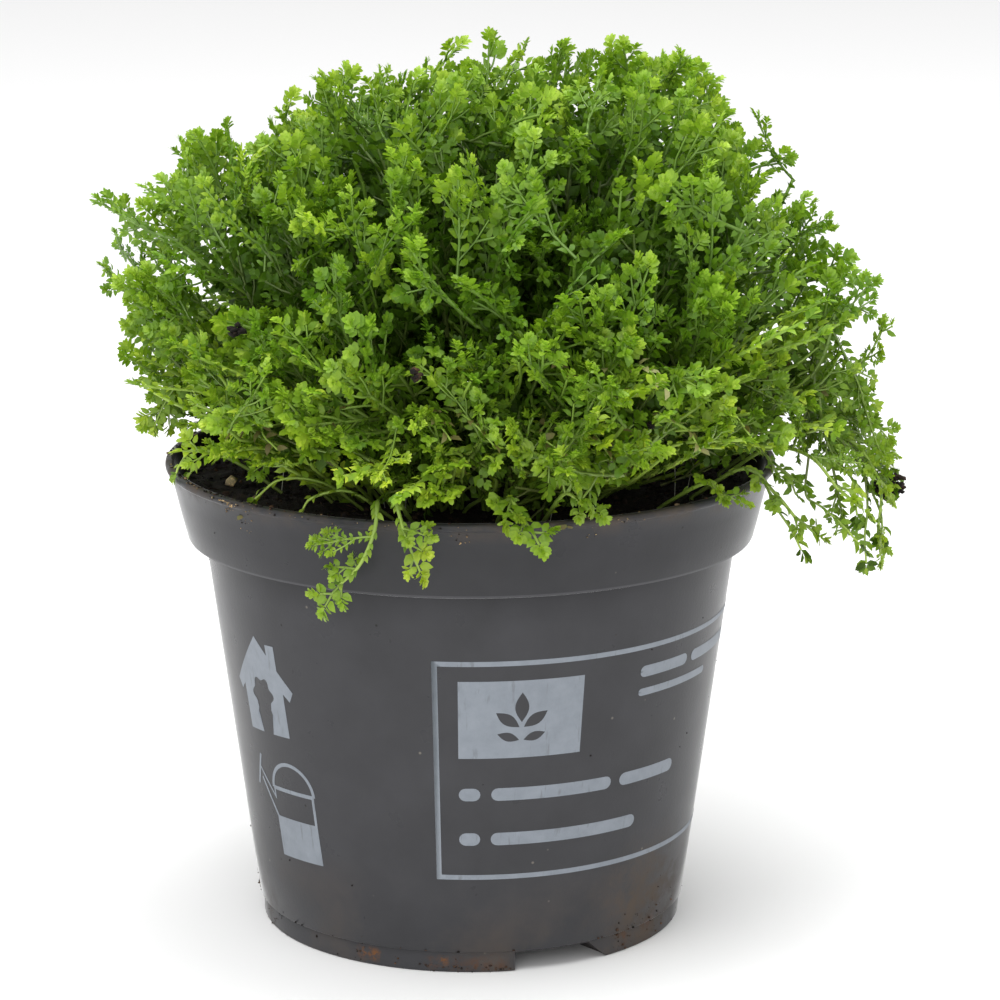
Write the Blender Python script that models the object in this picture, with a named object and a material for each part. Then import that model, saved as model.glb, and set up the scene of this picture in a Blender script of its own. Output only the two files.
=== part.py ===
"""Potted spikemoss in a 12 cm plastic nursery pot.

Frame: metres, +Z up, origin at the centre of the pot's underside, -Y is the
side seen in the photograph. The pot, the soil and the stems are separate
solids. The leafy stems stand in plain holes in the soil and follow one family
of flow lines that spreads from the soil to the surface of the plant's dome,
so neighbouring tufts never meet. Each tuft is a stem, a small dense core and
the toothed sprays that stand out of it.
"""
import math
import random

import bmesh
import bpy
import numpy as np

for old in list(bpy.data.objects):
    bpy.data.objects.remove(old, do_unlink=True)

MM = 0.001

# Dimensions, all in millimetres unless said otherwise
POT_SIDES = 40
RIM_R = 60.0            # outside of the rolled lip
POT_H = 92.75
LIP_Z = 91.0            # underside of the rolled lip
COLLAR_Z = 77.7         # underside of the collar
COLLAR_R = 55.9
WALL_TOP_R = 52.4
WALL_BOTTOM_R = 42.5
SEAM_Z = 4.3            # seam between the foot and the wall
FOOT_R = 41.8
WALL_T = 1.1
FLOOR_T = 1.3
GAP = 0.3               # clearance between touching pieces
SHARP = 28              # degrees, above which the pot's edges stay sharp

# Drainage channels under the floor, open at the foot
CHANNEL_H = 3.8
CHANNEL_AZ = (26.0, 146.0, 266.0)
CHANNEL_HALF = 14.0     # degrees, at the foot
CHANNEL_SLANT = 7.0     # degrees that the right end draws in at the top
CHANNEL_IN = 14.0       # radius at which a channel starts
CHANNEL_IN_HALF = 3.5   # half its width there
CHANNEL_OUT = 46.0      # radius to which the cut runs, past the foot
RIDGE_T = 1.2           # wall of the floor over a channel
DRAIN_AT = 31.0         # radius at which a drain hole stands
DRAIN_R = 3.2

SOIL_Z = 88.4           # mean height of the soil's surface
SOIL_R = 57.0
SOIL_RINGS = (45.0, 30.0, 15.0, 0.0)
HOLE_BOTTOM_Z = 77.0    # the holes in the soil that the stems stand in
HOLE_TOP_Z = 94.0
HOLE_R = 2.25
HOLE_SIDES = 5
STEM_R = 1.5
STEM_SIDES = 4
STEM_TOP_Z = 90.0       # where a stem leaves the soil

DOME_Z = 112.0          # centre of the dome's ellipse
DOME_R = 80.0
DOME_H = 65.0
RINGS = (               # dome angle from and to in radians, tufts
    (0.00, 0.20, 1),
    (0.20, 0.66, 6),
    (0.66, 1.18, 9),
    (1.18, 1.78, 12),
)
SPRAYS = 5              # in each tuft
U_MAX = RINGS[-1][1]
STEM_SPREAD = 36.0      # radius of the outer ring of stems in the soil
BLADE_T = 0.7

# The dome leans: its middle at each height, in X.
LEAN_Z = (95, 101, 118, 130, 140, 150, 160, 170, 178)
LEAN_X = (0, 4.5, 5.5, 3.0, 0.5, 1.5, 4.0, 9.0, 13.0)


# Materials
def material(name, rgb, rough):
    m = bpy.data.materials.new(name)
    m.use_nodes = True
    b = m.node_tree.nodes["Principled BSDF"]
    b.inputs["Base Color"].default_value = (*rgb, 1)
    b.inputs["Roughness"].default_value = rough
    b.inputs["Metallic"].default_value = 0.0
    return m


GREY = material("pot_grey", (0.075, 0.077, 0.082), 0.45)
PEAT = material("peat", (0.035, 0.022, 0.014), 0.95)
GREEN = material("leaf_green", (0.22, 0.36, 0.055), 0.6)

family = bpy.data.objects.new("potted_spikemoss", None)
bpy.context.scene.collection.objects.link(family)


# Making objects and uniting them
def add(name, bm, mat, sharp=None, flat=False):
    """A named object from a mesh under construction."""
    bmesh.ops.recalc_face_normals(bm, faces=bm.faces)
    if flat:
        bmesh.ops.triangulate(bm, faces=bm.faces)
    me = bpy.data.meshes.new(name)
    bm.to_mesh(me)
    bm.free()
    ob = bpy.data.objects.new(name, me)
    ob.data.materials.append(mat)
    bpy.context.scene.collection.objects.link(ob)
    ob.parent = family
    if sharp:
        me.shade_smooth()
        me.set_sharp_from_angle(angle=math.radians(sharp))
    return ob


def combine(ob, others, operation, solver):
    """One Boolean of a collection of closed pieces into ob, applied."""
    box = bpy.data.collections.new("pieces")
    bpy.context.scene.collection.children.link(box)
    for o in others:
        box.objects.link(o)
        o.hide_render = True
        o.display_type = "WIRE"
    mod = ob.modifiers.new("combine", "BOOLEAN")
    mod.operation = operation
    mod.operand_type = "COLLECTION"
    mod.collection = box
    mod.solver = solver
    bpy.context.view_layer.update()
    got = ob.evaluated_get(bpy.context.evaluated_depsgraph_get())
    me = bpy.data.meshes.new_from_object(got)
    ob.modifiers.remove(mod)
    for o in others:
        bpy.data.objects.remove(o, do_unlink=True)
    bpy.data.collections.remove(box)
    return me


def shells_of(bm):
    """The connected shells of a mesh with their signed volumes."""
    seen, shells = set(), []
    for f in bm.faces:
        if f in seen:
            continue
        stack, shell = [f], []
        seen.add(f)
        while stack:
            g = stack.pop()
            shell.append(g)
            for e in g.edges:
                for h in e.link_faces:
                    if h not in seen:
                        seen.add(h)
                        stack.append(h)
        vol = sum(g.verts[0].co.dot(g.verts[1].co.cross(g.verts[2].co))
                  for g in shell) / 6
        shells.append((vol, shell))
    return shells


def one_shell(me):
    """Keeps the outer shell: fills sealed hollows and drops loose scraps."""
    for merge in (2e-6, 2e-7, 0.0):
        for cut in ("BEAUTY", "EAR_CLIP"):
            bm = bmesh.new()
            bm.from_mesh(me)
            if merge:
                bmesh.ops.remove_doubles(bm, verts=bm.verts, dist=merge)
            bmesh.ops.triangulate(bm, faces=bm.faces, ngon_method=cut)
            shells = shells_of(bm)
            best = max(shells, key=lambda s: s[0])
            for s in shells:
                if s is not best:
                    bmesh.ops.delete(bm, geom=s[1], context="FACES")
            bmesh.ops.delete(bm, geom=[e for e in bm.edges if not e.link_faces],
                             context="EDGES")
            bmesh.ops.delete(bm, geom=[v for v in bm.verts if not v.link_faces],
                             context="VERTS")
            if best[0] > 0 and all(len(e.link_faces) == 2 for e in bm.edges):
                return bm, True
            last = bm
    return last, False


# Pot
def turned(profile, sides):
    """A closed solid of revolution from a profile that starts and ends on Z."""
    bm = bmesh.new()
    vs = [bm.verts.new((r * MM, 0, z * MM)) for r, z in profile]
    es = [bm.edges.new(p) for p in zip(vs, vs[1:])]
    bmesh.ops.spin(bm, geom=vs + es, cent=(0, 0, 0), axis=(0, 0, 1),
                   angle=2 * math.pi, steps=sides, use_merge=True)
    bmesh.ops.remove_doubles(bm, verts=bm.verts, dist=1e-6)
    return bm


def prism(points, z0, z1, above=None):
    """A prism on a plan outline in millimetres, with its own top outline."""
    bm = bmesh.new()
    lo = [bm.verts.new((x * MM, y * MM, z0 * MM)) for x, y in points]
    hi = [bm.verts.new((x * MM, y * MM, z1 * MM)) for x, y in above or points]
    bm.faces.new(list(reversed(lo)))
    bm.faces.new(hi)
    for k in range(len(lo)):
        j = (k + 1) % len(lo)
        bm.faces.new((lo[k], lo[j], hi[j], hi[k]))
    return bm


def plan(r, az):
    """A plan point at radius r; azimuth 0 is the front, positive to +X."""
    a = math.radians(az)
    return r * math.sin(a), -r * math.cos(a)


def channel_plan(az, grow, r_out, slant=0.0):
    """Outline of a drainage channel that widens from the hub to the foot.

    slant, in degrees, draws the right end in at the foot.
    """
    c, s = math.cos(math.radians(az)), math.sin(math.radians(az))

    def at(out, side):
        return out * s + side * c, -out * c + side * s

    pts = [at(CHANNEL_IN - grow, -CHANNEL_IN_HALF - grow)]
    half = math.radians(CHANNEL_HALF) + grow / r_out
    for k in range(5):
        a = -half + (2 * half - math.radians(slant)) * k / 4
        pts.append(at(r_out * math.cos(a), r_out * math.sin(a)))
    pts.append(at(CHANNEL_IN - grow, CHANNEL_IN_HALF + grow))
    return pts


def circle(x, y, r, sides, turn=0.0):
    """Plan points of a regular outline."""
    return [(x + r * math.cos(2 * math.pi * k / sides + turn),
             y + r * math.sin(2 * math.pi * k / sides + turn))
            for k in range(sides)]


def make_pot():
    """One thin-walled pot, with its ridges fused on and its channels cut."""
    outside = [
        (0, 0), (FOOT_R - 0.5, 0), (FOOT_R, 0.5), (FOOT_R, SEAM_Z - 0.25),
        (WALL_BOTTOM_R, SEAM_Z + 0.1), (WALL_TOP_R, COLLAR_Z),
        (COLLAR_R - 0.3, COLLAR_Z), (COLLAR_R, COLLAR_Z + 0.5),
        (RIM_R - 1.0, LIP_Z), (RIM_R, LIP_Z + 0.6), (RIM_R, POT_H - 0.45),
        (RIM_R - 0.5, POT_H),
    ]
    inside = [
        (RIM_R - 1.6, POT_H), (RIM_R - 2.1, LIP_Z + 0.6),
        (COLLAR_R - WALL_T, COLLAR_Z + 1.2),
        (WALL_TOP_R - WALL_T, COLLAR_Z + 0.9),
        (WALL_BOTTOM_R - WALL_T, SEAM_Z + 0.8), (FOOT_R - 1.3, FLOOR_T),
        (0, FLOOR_T),
    ]
    pot = add("pot", turned(outside + inside, POT_SIDES), GREY, SHARP)
    ridges = [add("ridge", prism(channel_plan(az, RIDGE_T, FOOT_R - 0.35), 0.5,
                                 CHANNEL_H + RIDGE_T), GREY)
              for az in CHANNEL_AZ]
    pot.data = combine(pot, ridges, "UNION", "MANIFOLD")
    cuts = []
    for az in CHANNEL_AZ:
        cuts.append(add("channel", prism(
            channel_plan(az, 0, CHANNEL_OUT), -1.0, CHANNEL_H,
            channel_plan(az, 0, CHANNEL_OUT, CHANNEL_SLANT)), GREY))
    for az in CHANNEL_AZ:
        hole = circle(*plan(DRAIN_AT, az), DRAIN_R, 8)
        cuts.append(add("drain", prism(hole, 2.0, 7.0), GREY))
    bm, _ = one_shell(combine(pot, cuts, "DIFFERENCE", "MANIFOLD"))
    bpy.data.objects.remove(pot, do_unlink=True)
    add("pot", bm, GREY, SHARP)


# Flow lines from the soil to the surface of the dome
def spread(u):
    """Radius at which a stem for dome angle u leaves the soil."""
    return STEM_SPREAD * (max(u, 0.0) / U_MAX) ** 0.85


def flow(u, th, t):
    """Point on the flow line of dome angle u and azimuth th (radians).

    t runs from 0 just above the soil to 1 at the surface of the dome.
    """
    re = DOME_R * math.sin(u)
    ze = DOME_Z + DOME_H * math.cos(u)
    r0, z0 = spread(u), 91.0
    r1 = r0 + 0.28 * (re - r0)
    z1 = z0 + 0.55 * (ze - z0) + 11.0 * (u / U_MAX) ** 2
    if t <= 1:
        w0, w1, w2 = (1 - t) ** 2, 2 * t * (1 - t), t * t
        r, z = w0 * r0 + w1 * r1 + w2 * re, w0 * z0 + w1 * z1 + w2 * ze
    else:
        r = re + 2 * (t - 1) * (re - r1)
        z = ze + 2 * (t - 1) * (ze - z1)
    x, y = r * math.sin(th), -r * math.cos(th)
    return np.array([x + np.interp(z, LEAN_Z, LEAN_X), y * 0.985, z])


class Cell:
    """The share of the dome that belongs to one tuft."""

    def __init__(self, u0, u1, th, dth):
        self.centre = u0 <= 0
        self.u, self.du = (0.0, u1) if self.centre else \
            ((u0 + u1) / 2, (u1 - u0) / 2)
        self.th, self.dth = th, dth

    def at(self, a, b, t):
        if self.centre:
            return flow(self.du * math.hypot(a, b), math.atan2(b, a), t)
        return flow(self.u + a * self.du, self.th + b * self.dth, t)

    def half(self, t):
        """Half the cell's size in mm: across rings, along rings, per t."""
        p = self.at(0, 0, t)
        if self.centre:
            h = np.linalg.norm(self.at(0.5, 0, t) - p) * 2
            hu = hv = h
        else:
            hu = np.linalg.norm(self.at(0.5, 0, t) - self.at(-0.5, 0, t))
            hv = np.linalg.norm(self.at(0, 0.5, t) - self.at(0, -0.5, t))
        hw = np.linalg.norm(self.at(0, 0, t + 0.05) - p) / 0.05
        return hu, hv, hw

    def clamp(self, a, b, t):
        hu, hv, _ = self.half(t)
        if self.centre:
            lim = 1 - 1.0 / hu
            h = math.hypot(a, b)
            return (a, b) if h <= lim else (a * lim / h, b * lim / h)
        hi, lo, lb = 1 - 0.75 / hu, 1 - 1.7 / hu, 1 - 0.75 / hv
        return min(max(a, -lo), hi), min(max(b, -lb), lb)


def slab(points, faces, thick):
    """A thin closed solid on a triangulated sheet of points."""
    pts = np.array(points)
    nrm = np.zeros_like(pts)
    for f in faces:
        n = np.cross(pts[f[1]] - pts[f[0]], pts[f[2]] - pts[f[0]])
        for k in f:
            nrm[k] += n
    nrm /= np.linalg.norm(nrm, axis=1)[:, None]
    bm = bmesh.new()
    up = [bm.verts.new((p + n * thick / 2) * MM) for p, n in zip(pts, nrm)]
    dn = [bm.verts.new((p - n * thick / 2) * MM) for p, n in zip(pts, nrm)]
    edge = {}
    for f in faces:
        bm.faces.new([up[k] for k in f])
        bm.faces.new([dn[k] for k in reversed(f)])
        for a, b in zip(f, f[1:] + f[:1]):
            if (b, a) in edge:
                del edge[b, a]
            else:
                edge[a, b] = 1
    for a, b in edge:
        bm.faces.new((up[b], up[a], dn[a], dn[b]))
    return bm


# A spray's teeth on one side: place of the tip along the rib, its half
# width and place of the notch before it
TEETH = ((0.70, 0.84, 0.56), (0.93, 0.80, 0.80))


def spray_outline(rng):
    """Stations of a toothed fan: along (0 to 1) and out (-1 to 1).

    Returns the points and the triangles of a flat spray whose leaflets are
    cut nearly to its rib.
    """
    pts = [(0.0, 0.10), (0.0, -0.10)]
    left, right = [0], [1]
    faces = []
    for side, row in ((1, left), (-1, right)):
        for at, wide, cut in TEETH:
            lag = rng.uniform(-0.04, 0.04)
            tip = (min(at + lag, 0.97), side * wide * rng.uniform(0.86, 1.06))
            notch = (cut + lag * 0.5, side * 0.17)
            pts += [tip, notch]
            a, b, c = row[-1], len(pts) - 2, len(pts) - 1
            faces.append((a, c, b) if side > 0 else (a, b, c))
            row.append(c)
    pts.append((1.0, 0.0))
    for k in range(len(TEETH)):
        a, b, c, d = left[k], right[k], right[k + 1], left[k + 1]
        faces += [(a, b, c), (a, c, d)]
    faces.append((left[-1], right[-1], len(pts) - 1))
    return pts, faces


def tuft_spray(cell, phi, reach, t0, t1, wide, tilt, rng):
    """One arched spray of a tuft, kept within the tuft's own cell."""
    pts, faces = spray_outline(rng)
    ca, sa = math.cos(phi), math.sin(phi)
    out = []
    for lam, off in pts:
        w = off * wide
        t = t0 + (t1 - t0) * (1 - (1 - lam) ** 1.2)
        hu, hv, hw = cell.half(t)
        go = reach * (0.16 + 0.84 * lam ** 1.35)
        a = ca * go - sa * w * math.cos(tilt) / hu
        b = sa * go + ca * w * math.cos(tilt) / hv
        t += (math.sin(tilt) * w - 3.0 * off * off) / hw
        a, b = cell.clamp(a, b, t)
        out.append(cell.at(a, b, t))
    return slab(out, faces, BLADE_T)


def tube(points, radii, sides):
    """A closed round stem through points."""
    bm = bmesh.new()
    rings, prev = [], None
    for k, (p, r) in enumerate(zip(points, radii)):
        d = points[min(k + 1, len(points) - 1)] - points[max(k - 1, 0)]
        d = d / np.linalg.norm(d)
        if prev is None:
            prev = np.cross(d, (0.3, 1.0, 0.1))
        x = prev - d * np.dot(prev, d)
        x /= np.linalg.norm(x)
        y = np.cross(d, x)
        prev = x
        rings.append([bm.verts.new((p + r * (x * math.cos(s) + y * math.sin(s)))
                                   * MM)
                      for s in (2 * math.pi * j / sides for j in range(sides))])
    for a, b in zip(rings, rings[1:]):
        for j in range(sides):
            bm.faces.new((a[j], a[(j + 1) % sides], b[(j + 1) % sides], b[j]))
    bm.faces.new(list(reversed(rings[0])))
    bm.faces.new(rings[-1])
    return bm


def core(cell, t0, t1, wide, sides=5):
    """The dense middle of a tuft, smaller than the sprays around it."""
    bm = bmesh.new()
    first = bm.verts.new(cell.at(0, 0, t0) * MM)
    last = bm.verts.new(cell.at(0, 0, t1) * MM)
    rings = []
    for k, (f, w) in enumerate(((0.40, 0.92), (0.80, 0.86))):
        t = t0 + (t1 - t0) * f
        ring = []
        for j in range(sides):
            s = 2 * math.pi * (j + 0.5 * (k % 2)) / sides
            a, b = cell.clamp(wide * w * math.cos(s), wide * w * math.sin(s), t)
            ring.append(bm.verts.new(cell.at(a, b, t) * MM))
        rings.append(ring)
    for j in range(sides):
        i = (j + 1) % sides
        bm.faces.new((first, rings[0][i], rings[0][j]))
        bm.faces.new((last, rings[-1][j], rings[-1][i]))
    for a, b in zip(rings, rings[1:]):
        for j in range(sides):
            i = (j + 1) % sides
            bm.faces.new((a[j], a[i], b[j]))
            bm.faces.new((a[i], b[i], b[j]))
    return bm


def grow(name, body, pieces):
    """Unites a tuft's pieces; a tuft that will not unite gets fewer sprays."""
    while True:
        for solver in ("MANIFOLD", "EXACT"):
            ob = add(name, body.copy(), GREEN, flat=True)
            others = [add("spray", p.copy(), GREEN, flat=True) for p in pieces]
            me = combine(ob, others, "UNION", solver)
            bpy.data.objects.remove(ob, do_unlink=True)
            bm, ok = one_shell(me)
            if ok:
                return add(name, bm, GREEN)
            bm.free()
        pieces = pieces[:-1]


# Tufts
def make_tuft(number, cell):
    """A stem, its core and its sprays. Returns the stem's plan point."""
    rng = random.Random(1000 + number)
    x, y, _ = cell.at(0, 0, 0.0)
    path = [np.array([x, y, HOLE_BOTTOM_Z + GAP]),
            np.array([x, y, STEM_TOP_Z])]
    path += [cell.at(0, 0, t) for t in (0.20, 0.38)]
    stem = tube(path, (STEM_R, STEM_R, 1.35, 1.15), STEM_SIDES)
    pieces = [core(cell, 0.26, 0.80, 0.62)]
    turn = rng.uniform(0, 2 * math.pi)
    for j in range(SPRAYS):
        if j == 0:
            reach, t1, wide = 0.10, rng.uniform(1.0, 1.045), 9.5
        else:
            reach = rng.uniform(0.90, 1.00)
            t1 = rng.uniform(0.93, 1.01)
            wide = rng.uniform(12.0, 14.0)
        phi = turn + 2 * math.pi * j / (SPRAYS - 1) + rng.uniform(-.15, .15)
        pieces.append(tuft_spray(cell, phi, reach, rng.uniform(.56, .62),
                                 t1, wide, rng.uniform(-.12, .12), rng))
    grow(f"tuft_{number:02d}", stem, pieces)
    return x, y


def make_tufts():
    """All tufts, ring by ring. Returns the plan points of their stems."""
    stems = []
    for ring, (u0, u1, count) in enumerate(RINGS):
        rng = random.Random(100 + ring)
        share = [rng.uniform(0.88, 1.12) for _ in range(count)]
        th = rng.uniform(0, 2 * math.pi)
        for one in share:
            width = 2 * math.pi * one / sum(share)
            cell = Cell(u0, u1, th + width / 2, width / 2)
            th += width
            stems.append(make_tuft(len(stems) + 1, cell))
    return stems


# Trailing stems
def smooth(points, steps):
    """Points along a smooth curve through the given points."""
    p = [2 * points[0] - points[1]] + list(points) + \
        [2 * points[-1] - points[-2]]
    out = []
    for k in range(1, len(p) - 2):
        a, b, c, d = p[k - 1:k + 3]
        for j in range(steps):
            t = j / steps
            out.append(0.5 * (2 * b + (c - a) * t
                              + (2 * a - 5 * b + 4 * c - d) * t * t
                              + (3 * b - a - 3 * c + d) * t ** 3))
    out.append(p[-2])
    return out


def free_spray(base, along, face, length, wide, rng, sag=0.12):
    """A spray placed by its foot, its direction and the way it faces."""
    pts, faces = spray_outline(rng)
    along = along / np.linalg.norm(along)
    face = face - along * np.dot(face, along)
    face = face / np.linalg.norm(face)
    side = np.cross(face, along)
    out = [base + along * lam * length + side * off * wide
           - face * (sag * lam * lam * length + 1.6 * off * off)
           for lam, off in pts]
    return slab(out, faces, BLADE_T)


# Each stem: azimuth and radius of its hole, its way over the rim as
# (azimuth, radius, height), and its sprays as (place along, side lean,
# length, half width).
TRAILS = (
    (-20, 49, ((-16, 60, 96.6), (-15.5, 63.8, 92), (-18, 64, 85.5), (-22, 63.6, 81)),
     ((0.56, -0.95, 13, 4.2), (0.80, -0.8, 7, 3.4), (0.97, 0.1, 8, 3.6))),
    (-12, 49, ((-12.5, 60, 97), (-10.7, 63.8, 93), (-9.5, 64, 89.5)),
     ((0.70, 0.85, 7.5, 3.6), (0.97, 0.0, 8.5, 4.0))),
    (6, 49, ((7, 60, 97.5), (9.5, 64, 93.8)),
     ((0.62, -0.8, 9, 4.0), (0.97, 0.1, 9, 4.4))),
    (16, 49, ((17, 60, 98), (19, 63, 96.5)),
     ((0.60, 0.9, 9, 4.0), (0.97, 0.0, 7, 3.8))),
    (47, 49, ((47, 60, 96.2), (48, 63.5, 94.6)),
     ((0.60, -0.8, 8, 3.8), (0.97, 0.0, 7, 3.8))),
    (60, 49, ((60, 60, 96.6), (62, 65.5, 92), (64.5, 69, 86.5)),
     ((0.55, -0.9, 8, 3.8), (0.97, 0.0, 9, 3.8))),
    (86, 49, ((85, 60, 97), (82, 74, 98), (80, 80.5, 90), (79.5, 80.5, 80.5)),
     ((0.50, 0.8, 12, 4.4), (0.72, -0.9, 9, 4.2), (0.97, -0.1, 9, 4.0))),
    (73, 49, ((71, 60, 98), (67, 70, 98.5), (65, 77, 93)),
     ((0.55, -0.9, 12, 5.0), (0.70, 0.9, 11, 4.8), (0.97, 0.0, 10, 4.8))),
    (102, 49, ((102, 60, 98), (101, 71, 98.5), (100, 78, 93)),
     ((0.55, 0.9, 12, 5.0), (0.97, 0.0, 11, 4.8))),
)
TRAIL_R = 1.2           # radius at the root and how much it loses by the tip
TRAIL_TAPER = 0.45


def make_trail(number, az, r, way, sprays):
    """One stem over the rim. Returns its plan point in the soil."""
    rng = random.Random(2000 + number)
    x, y = plan(r, az)
    pts = [np.array([x, y, STEM_TOP_Z - 0.2])]
    pts += [np.array([*plan(rr, a), z]) for a, rr, z in way]
    path = [np.array([x, y, HOLE_BOTTOM_Z + GAP])] + smooth(pts, 2)
    n = len(path) - 1
    stem = tube(path, [TRAIL_R - TRAIL_TAPER * k / n for k in range(n + 1)],
                STEM_SIDES)
    pieces = []
    for where, lean, length, wide in sprays:
        k = min(int(where * n), n - 1)
        step = path[k + 1] - path[k]
        base = path[k] + step * (where * n - k)
        along = step / np.linalg.norm(step)
        a = math.atan2(base[0], -base[1])
        out = np.array([math.sin(a), -math.cos(a), 0.5])
        side = np.cross(out, along)
        side = side / np.linalg.norm(side)
        go = along * (1 - 0.45 * abs(lean)) + side * lean + out * 0.22
        foot = base - go / np.linalg.norm(go) * 0.8
        pieces.append(free_spray(foot, go, out, length, wide, rng))
    grow(f"trail_{number:02d}", stem, pieces)
    return x, y


# Soil
def soil_top(x, y):
    """Height of the soil's slightly uneven surface."""
    return SOIL_Z + 0.5 * math.sin(x / 9.0 + 1.0) * math.cos(y / 11.0) \
        + 0.35 * math.sin((x + y) / 6.0)


def make_soil(stems):
    """One body that fills the pot, with a plain hole for each stem."""
    fill = [(0, FLOOR_T + GAP), (FOOT_R - 1.75, FLOOR_T + GAP),
            (WALL_BOTTOM_R - WALL_T - GAP, SEAM_Z + 1.1),
            (WALL_TOP_R - WALL_T - GAP, COLLAR_Z + 0.9),
            (WALL_TOP_R - 0.8, COLLAR_Z + 1.5),
            (COLLAR_R - 1.7, COLLAR_Z + 1.6), (SOIL_R, SOIL_Z)]
    bm = turned(fill + [(r, SOIL_Z) for r in SOIL_RINGS], POT_SIDES // 2)
    for v in bm.verts:
        x, y, z = (c / MM for c in v.co)
        if z > SOIL_Z - 0.01 and math.hypot(x, y) < SOIL_R - 0.5:
            v.co.z = soil_top(x, y) * MM
    soil = add("soil", bm, PEAT)
    cuts = [add("channel", prism(channel_plan(az, RIDGE_T + GAP, CHANNEL_OUT),
                                 -1.0, CHANNEL_H + RIDGE_T + GAP), PEAT)
            for az in CHANNEL_AZ]
    for k, (x, y) in enumerate(stems):
        hole = circle(x, y, HOLE_R, HOLE_SIDES, k)
        cuts.append(add("hole", prism(hole, HOLE_BOTTOM_Z, HOLE_TOP_Z), PEAT))
    bm, _ = one_shell(combine(soil, cuts, "DIFFERENCE", "MANIFOLD"))
    bpy.data.objects.remove(soil, do_unlink=True)
    add("soil", bm, PEAT)


make_pot()
stems = make_tufts()
stems += [make_trail(k, *trail) for k, trail in enumerate(TRAILS, 1)]
make_soil(stems)
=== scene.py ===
"""Looks of the potted spikemoss: fine sprays, pot, print, soil, light."""
import math
import random

import bmesh
import bpy
import numpy as np
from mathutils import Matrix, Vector, noise as rough_noise


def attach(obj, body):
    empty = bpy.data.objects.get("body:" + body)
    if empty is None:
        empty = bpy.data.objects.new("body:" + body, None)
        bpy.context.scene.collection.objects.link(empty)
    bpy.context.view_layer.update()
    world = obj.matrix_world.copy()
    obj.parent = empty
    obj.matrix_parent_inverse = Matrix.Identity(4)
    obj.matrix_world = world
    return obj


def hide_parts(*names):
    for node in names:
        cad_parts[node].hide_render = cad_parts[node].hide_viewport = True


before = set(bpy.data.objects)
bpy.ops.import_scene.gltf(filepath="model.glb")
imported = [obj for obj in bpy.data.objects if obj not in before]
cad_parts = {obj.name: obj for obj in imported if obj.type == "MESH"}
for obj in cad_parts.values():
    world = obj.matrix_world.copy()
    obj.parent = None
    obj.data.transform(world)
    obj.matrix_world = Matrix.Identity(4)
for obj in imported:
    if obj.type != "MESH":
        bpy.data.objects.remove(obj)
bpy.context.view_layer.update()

MM = .001

# Sizes of the pot, in millimetres and degrees
RIM_R, POT_H, COLLAR_Z, COLLAR_R = 60.0, 92.75, 77.7, 55.9
WALL_TOP_R, WALL_BOTTOM_R, SEAM_Z, FOOT_R = 52.4, 42.5, 4.3, 41.8
WALL_T, FLOOR_T, CHANNEL_H, SLANT = 1.1, 1.3, 3.8, .235
CHANNEL_AZ, CHANNEL_HALF = (26.0, 146.0, 266.0), 14.0
SOIL_Z, SOIL_R = 88.4, 57.0


def put_in_scene(name, data):
    ob = bpy.data.objects.new(name, data)
    bpy.context.scene.collection.objects.link(ob)
    return ob


# Camera
AIM, FAR, DOWN = Vector((5.8, 0, 83.5)) * MM, .767, math.radians(13.07)
LENS, SENSOR, CLIP = 139.7, 36, .05
cam = bpy.data.cameras.new("camera")
cam.lens, cam.sensor_width, cam.clip_start = LENS, SENSOR, CLIP
eye = put_in_scene("camera", cam)
look = Vector((0, math.cos(DOWN), -math.sin(DOWN)))
eye.location = AIM - look * FAR
eye.rotation_euler = look.to_track_quat("-Z", "Y").to_euler()
bpy.context.scene.camera = eye
bpy.context.scene.view_settings.view_transform = "Standard"


# Nodes
def new_material(name):
    m = bpy.data.materials.new(name)
    m.use_nodes = True
    return m, m.node_tree, m.node_tree.nodes["Principled BSDF"]


def put(tree, n, inputs):
    """Sets a node's inputs to numbers or colours, or links outputs to them."""
    for key, v in inputs.items():
        s = n.inputs[key]
        if isinstance(v, bpy.types.NodeSocket):
            tree.links.new(v, s)
        else:
            s.default_value = (*v, 1) if s.type == "RGBA" else v


def node(tree, kind, inputs, out=0, **settings):
    """The output of a new node with its inputs put in."""
    n = tree.nodes.new("ShaderNode" + kind)
    for key, v in settings.items():
        setattr(n, key, v)
    put(tree, n, inputs)
    return n.outputs[out]


def place(tree):
    return node(tree, "TexCoord", {}, "Object")


def attribute(tree, name):
    return node(tree, "Attribute", {}, "Fac", attribute_name=name)


def noise(tree, scale, detail=3, rough=.55, vector=None):
    return node(tree, "TexNoise", {
        "Scale": scale, "Detail": detail, "Roughness": rough,
        "Vector": place(tree) if vector is None else vector}, "Fac")


def ramp(tree, value, stops):
    """Colours by value. A stop is a value and a colour, or a number for a grey."""
    out = node(tree, "ValToRGB", {0: value})
    e = out.node.color_ramp.elements
    while len(e) > 1:
        e.remove(e[0])
    for k, (at, c) in enumerate(stops):
        s = e[0] if k == 0 else e.new(at)
        s.position = at
        s.color = (*c, 1) if isinstance(c, tuple) else (c, c, c, 1)
    return out


def mix(tree, share, a, b, kind="MIX"):
    return node(tree, "Mix", {0: share, 6: a, 7: b}, 2, data_type="RGBA", blend_type=kind,
                clamp_factor=True)


def times(tree, a, b):
    return mix(tree, 1.0, a, b, "MULTIPLY")


def calculate(tree, operation, a, b):
    return node(tree, "Math", {0: a, 1: b}, operation=operation)


def product(tree, a, b):
    return calculate(tree, "MULTIPLY", a, b)


def remap(tree, value, lo, hi, to_lo=0, to_hi=1):
    """A value carried from one range to another, and held inside it."""
    return node(tree, "MapRange", {0: value, 1: lo, 2: hi, 3: to_lo, 4: to_hi})


def bump(tree, shader, height, strength, distance):
    put(tree, shader, {"Normal": node(tree, "Bump", {
        "Strength": strength, "Distance": distance, "Height": height})})


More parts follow.
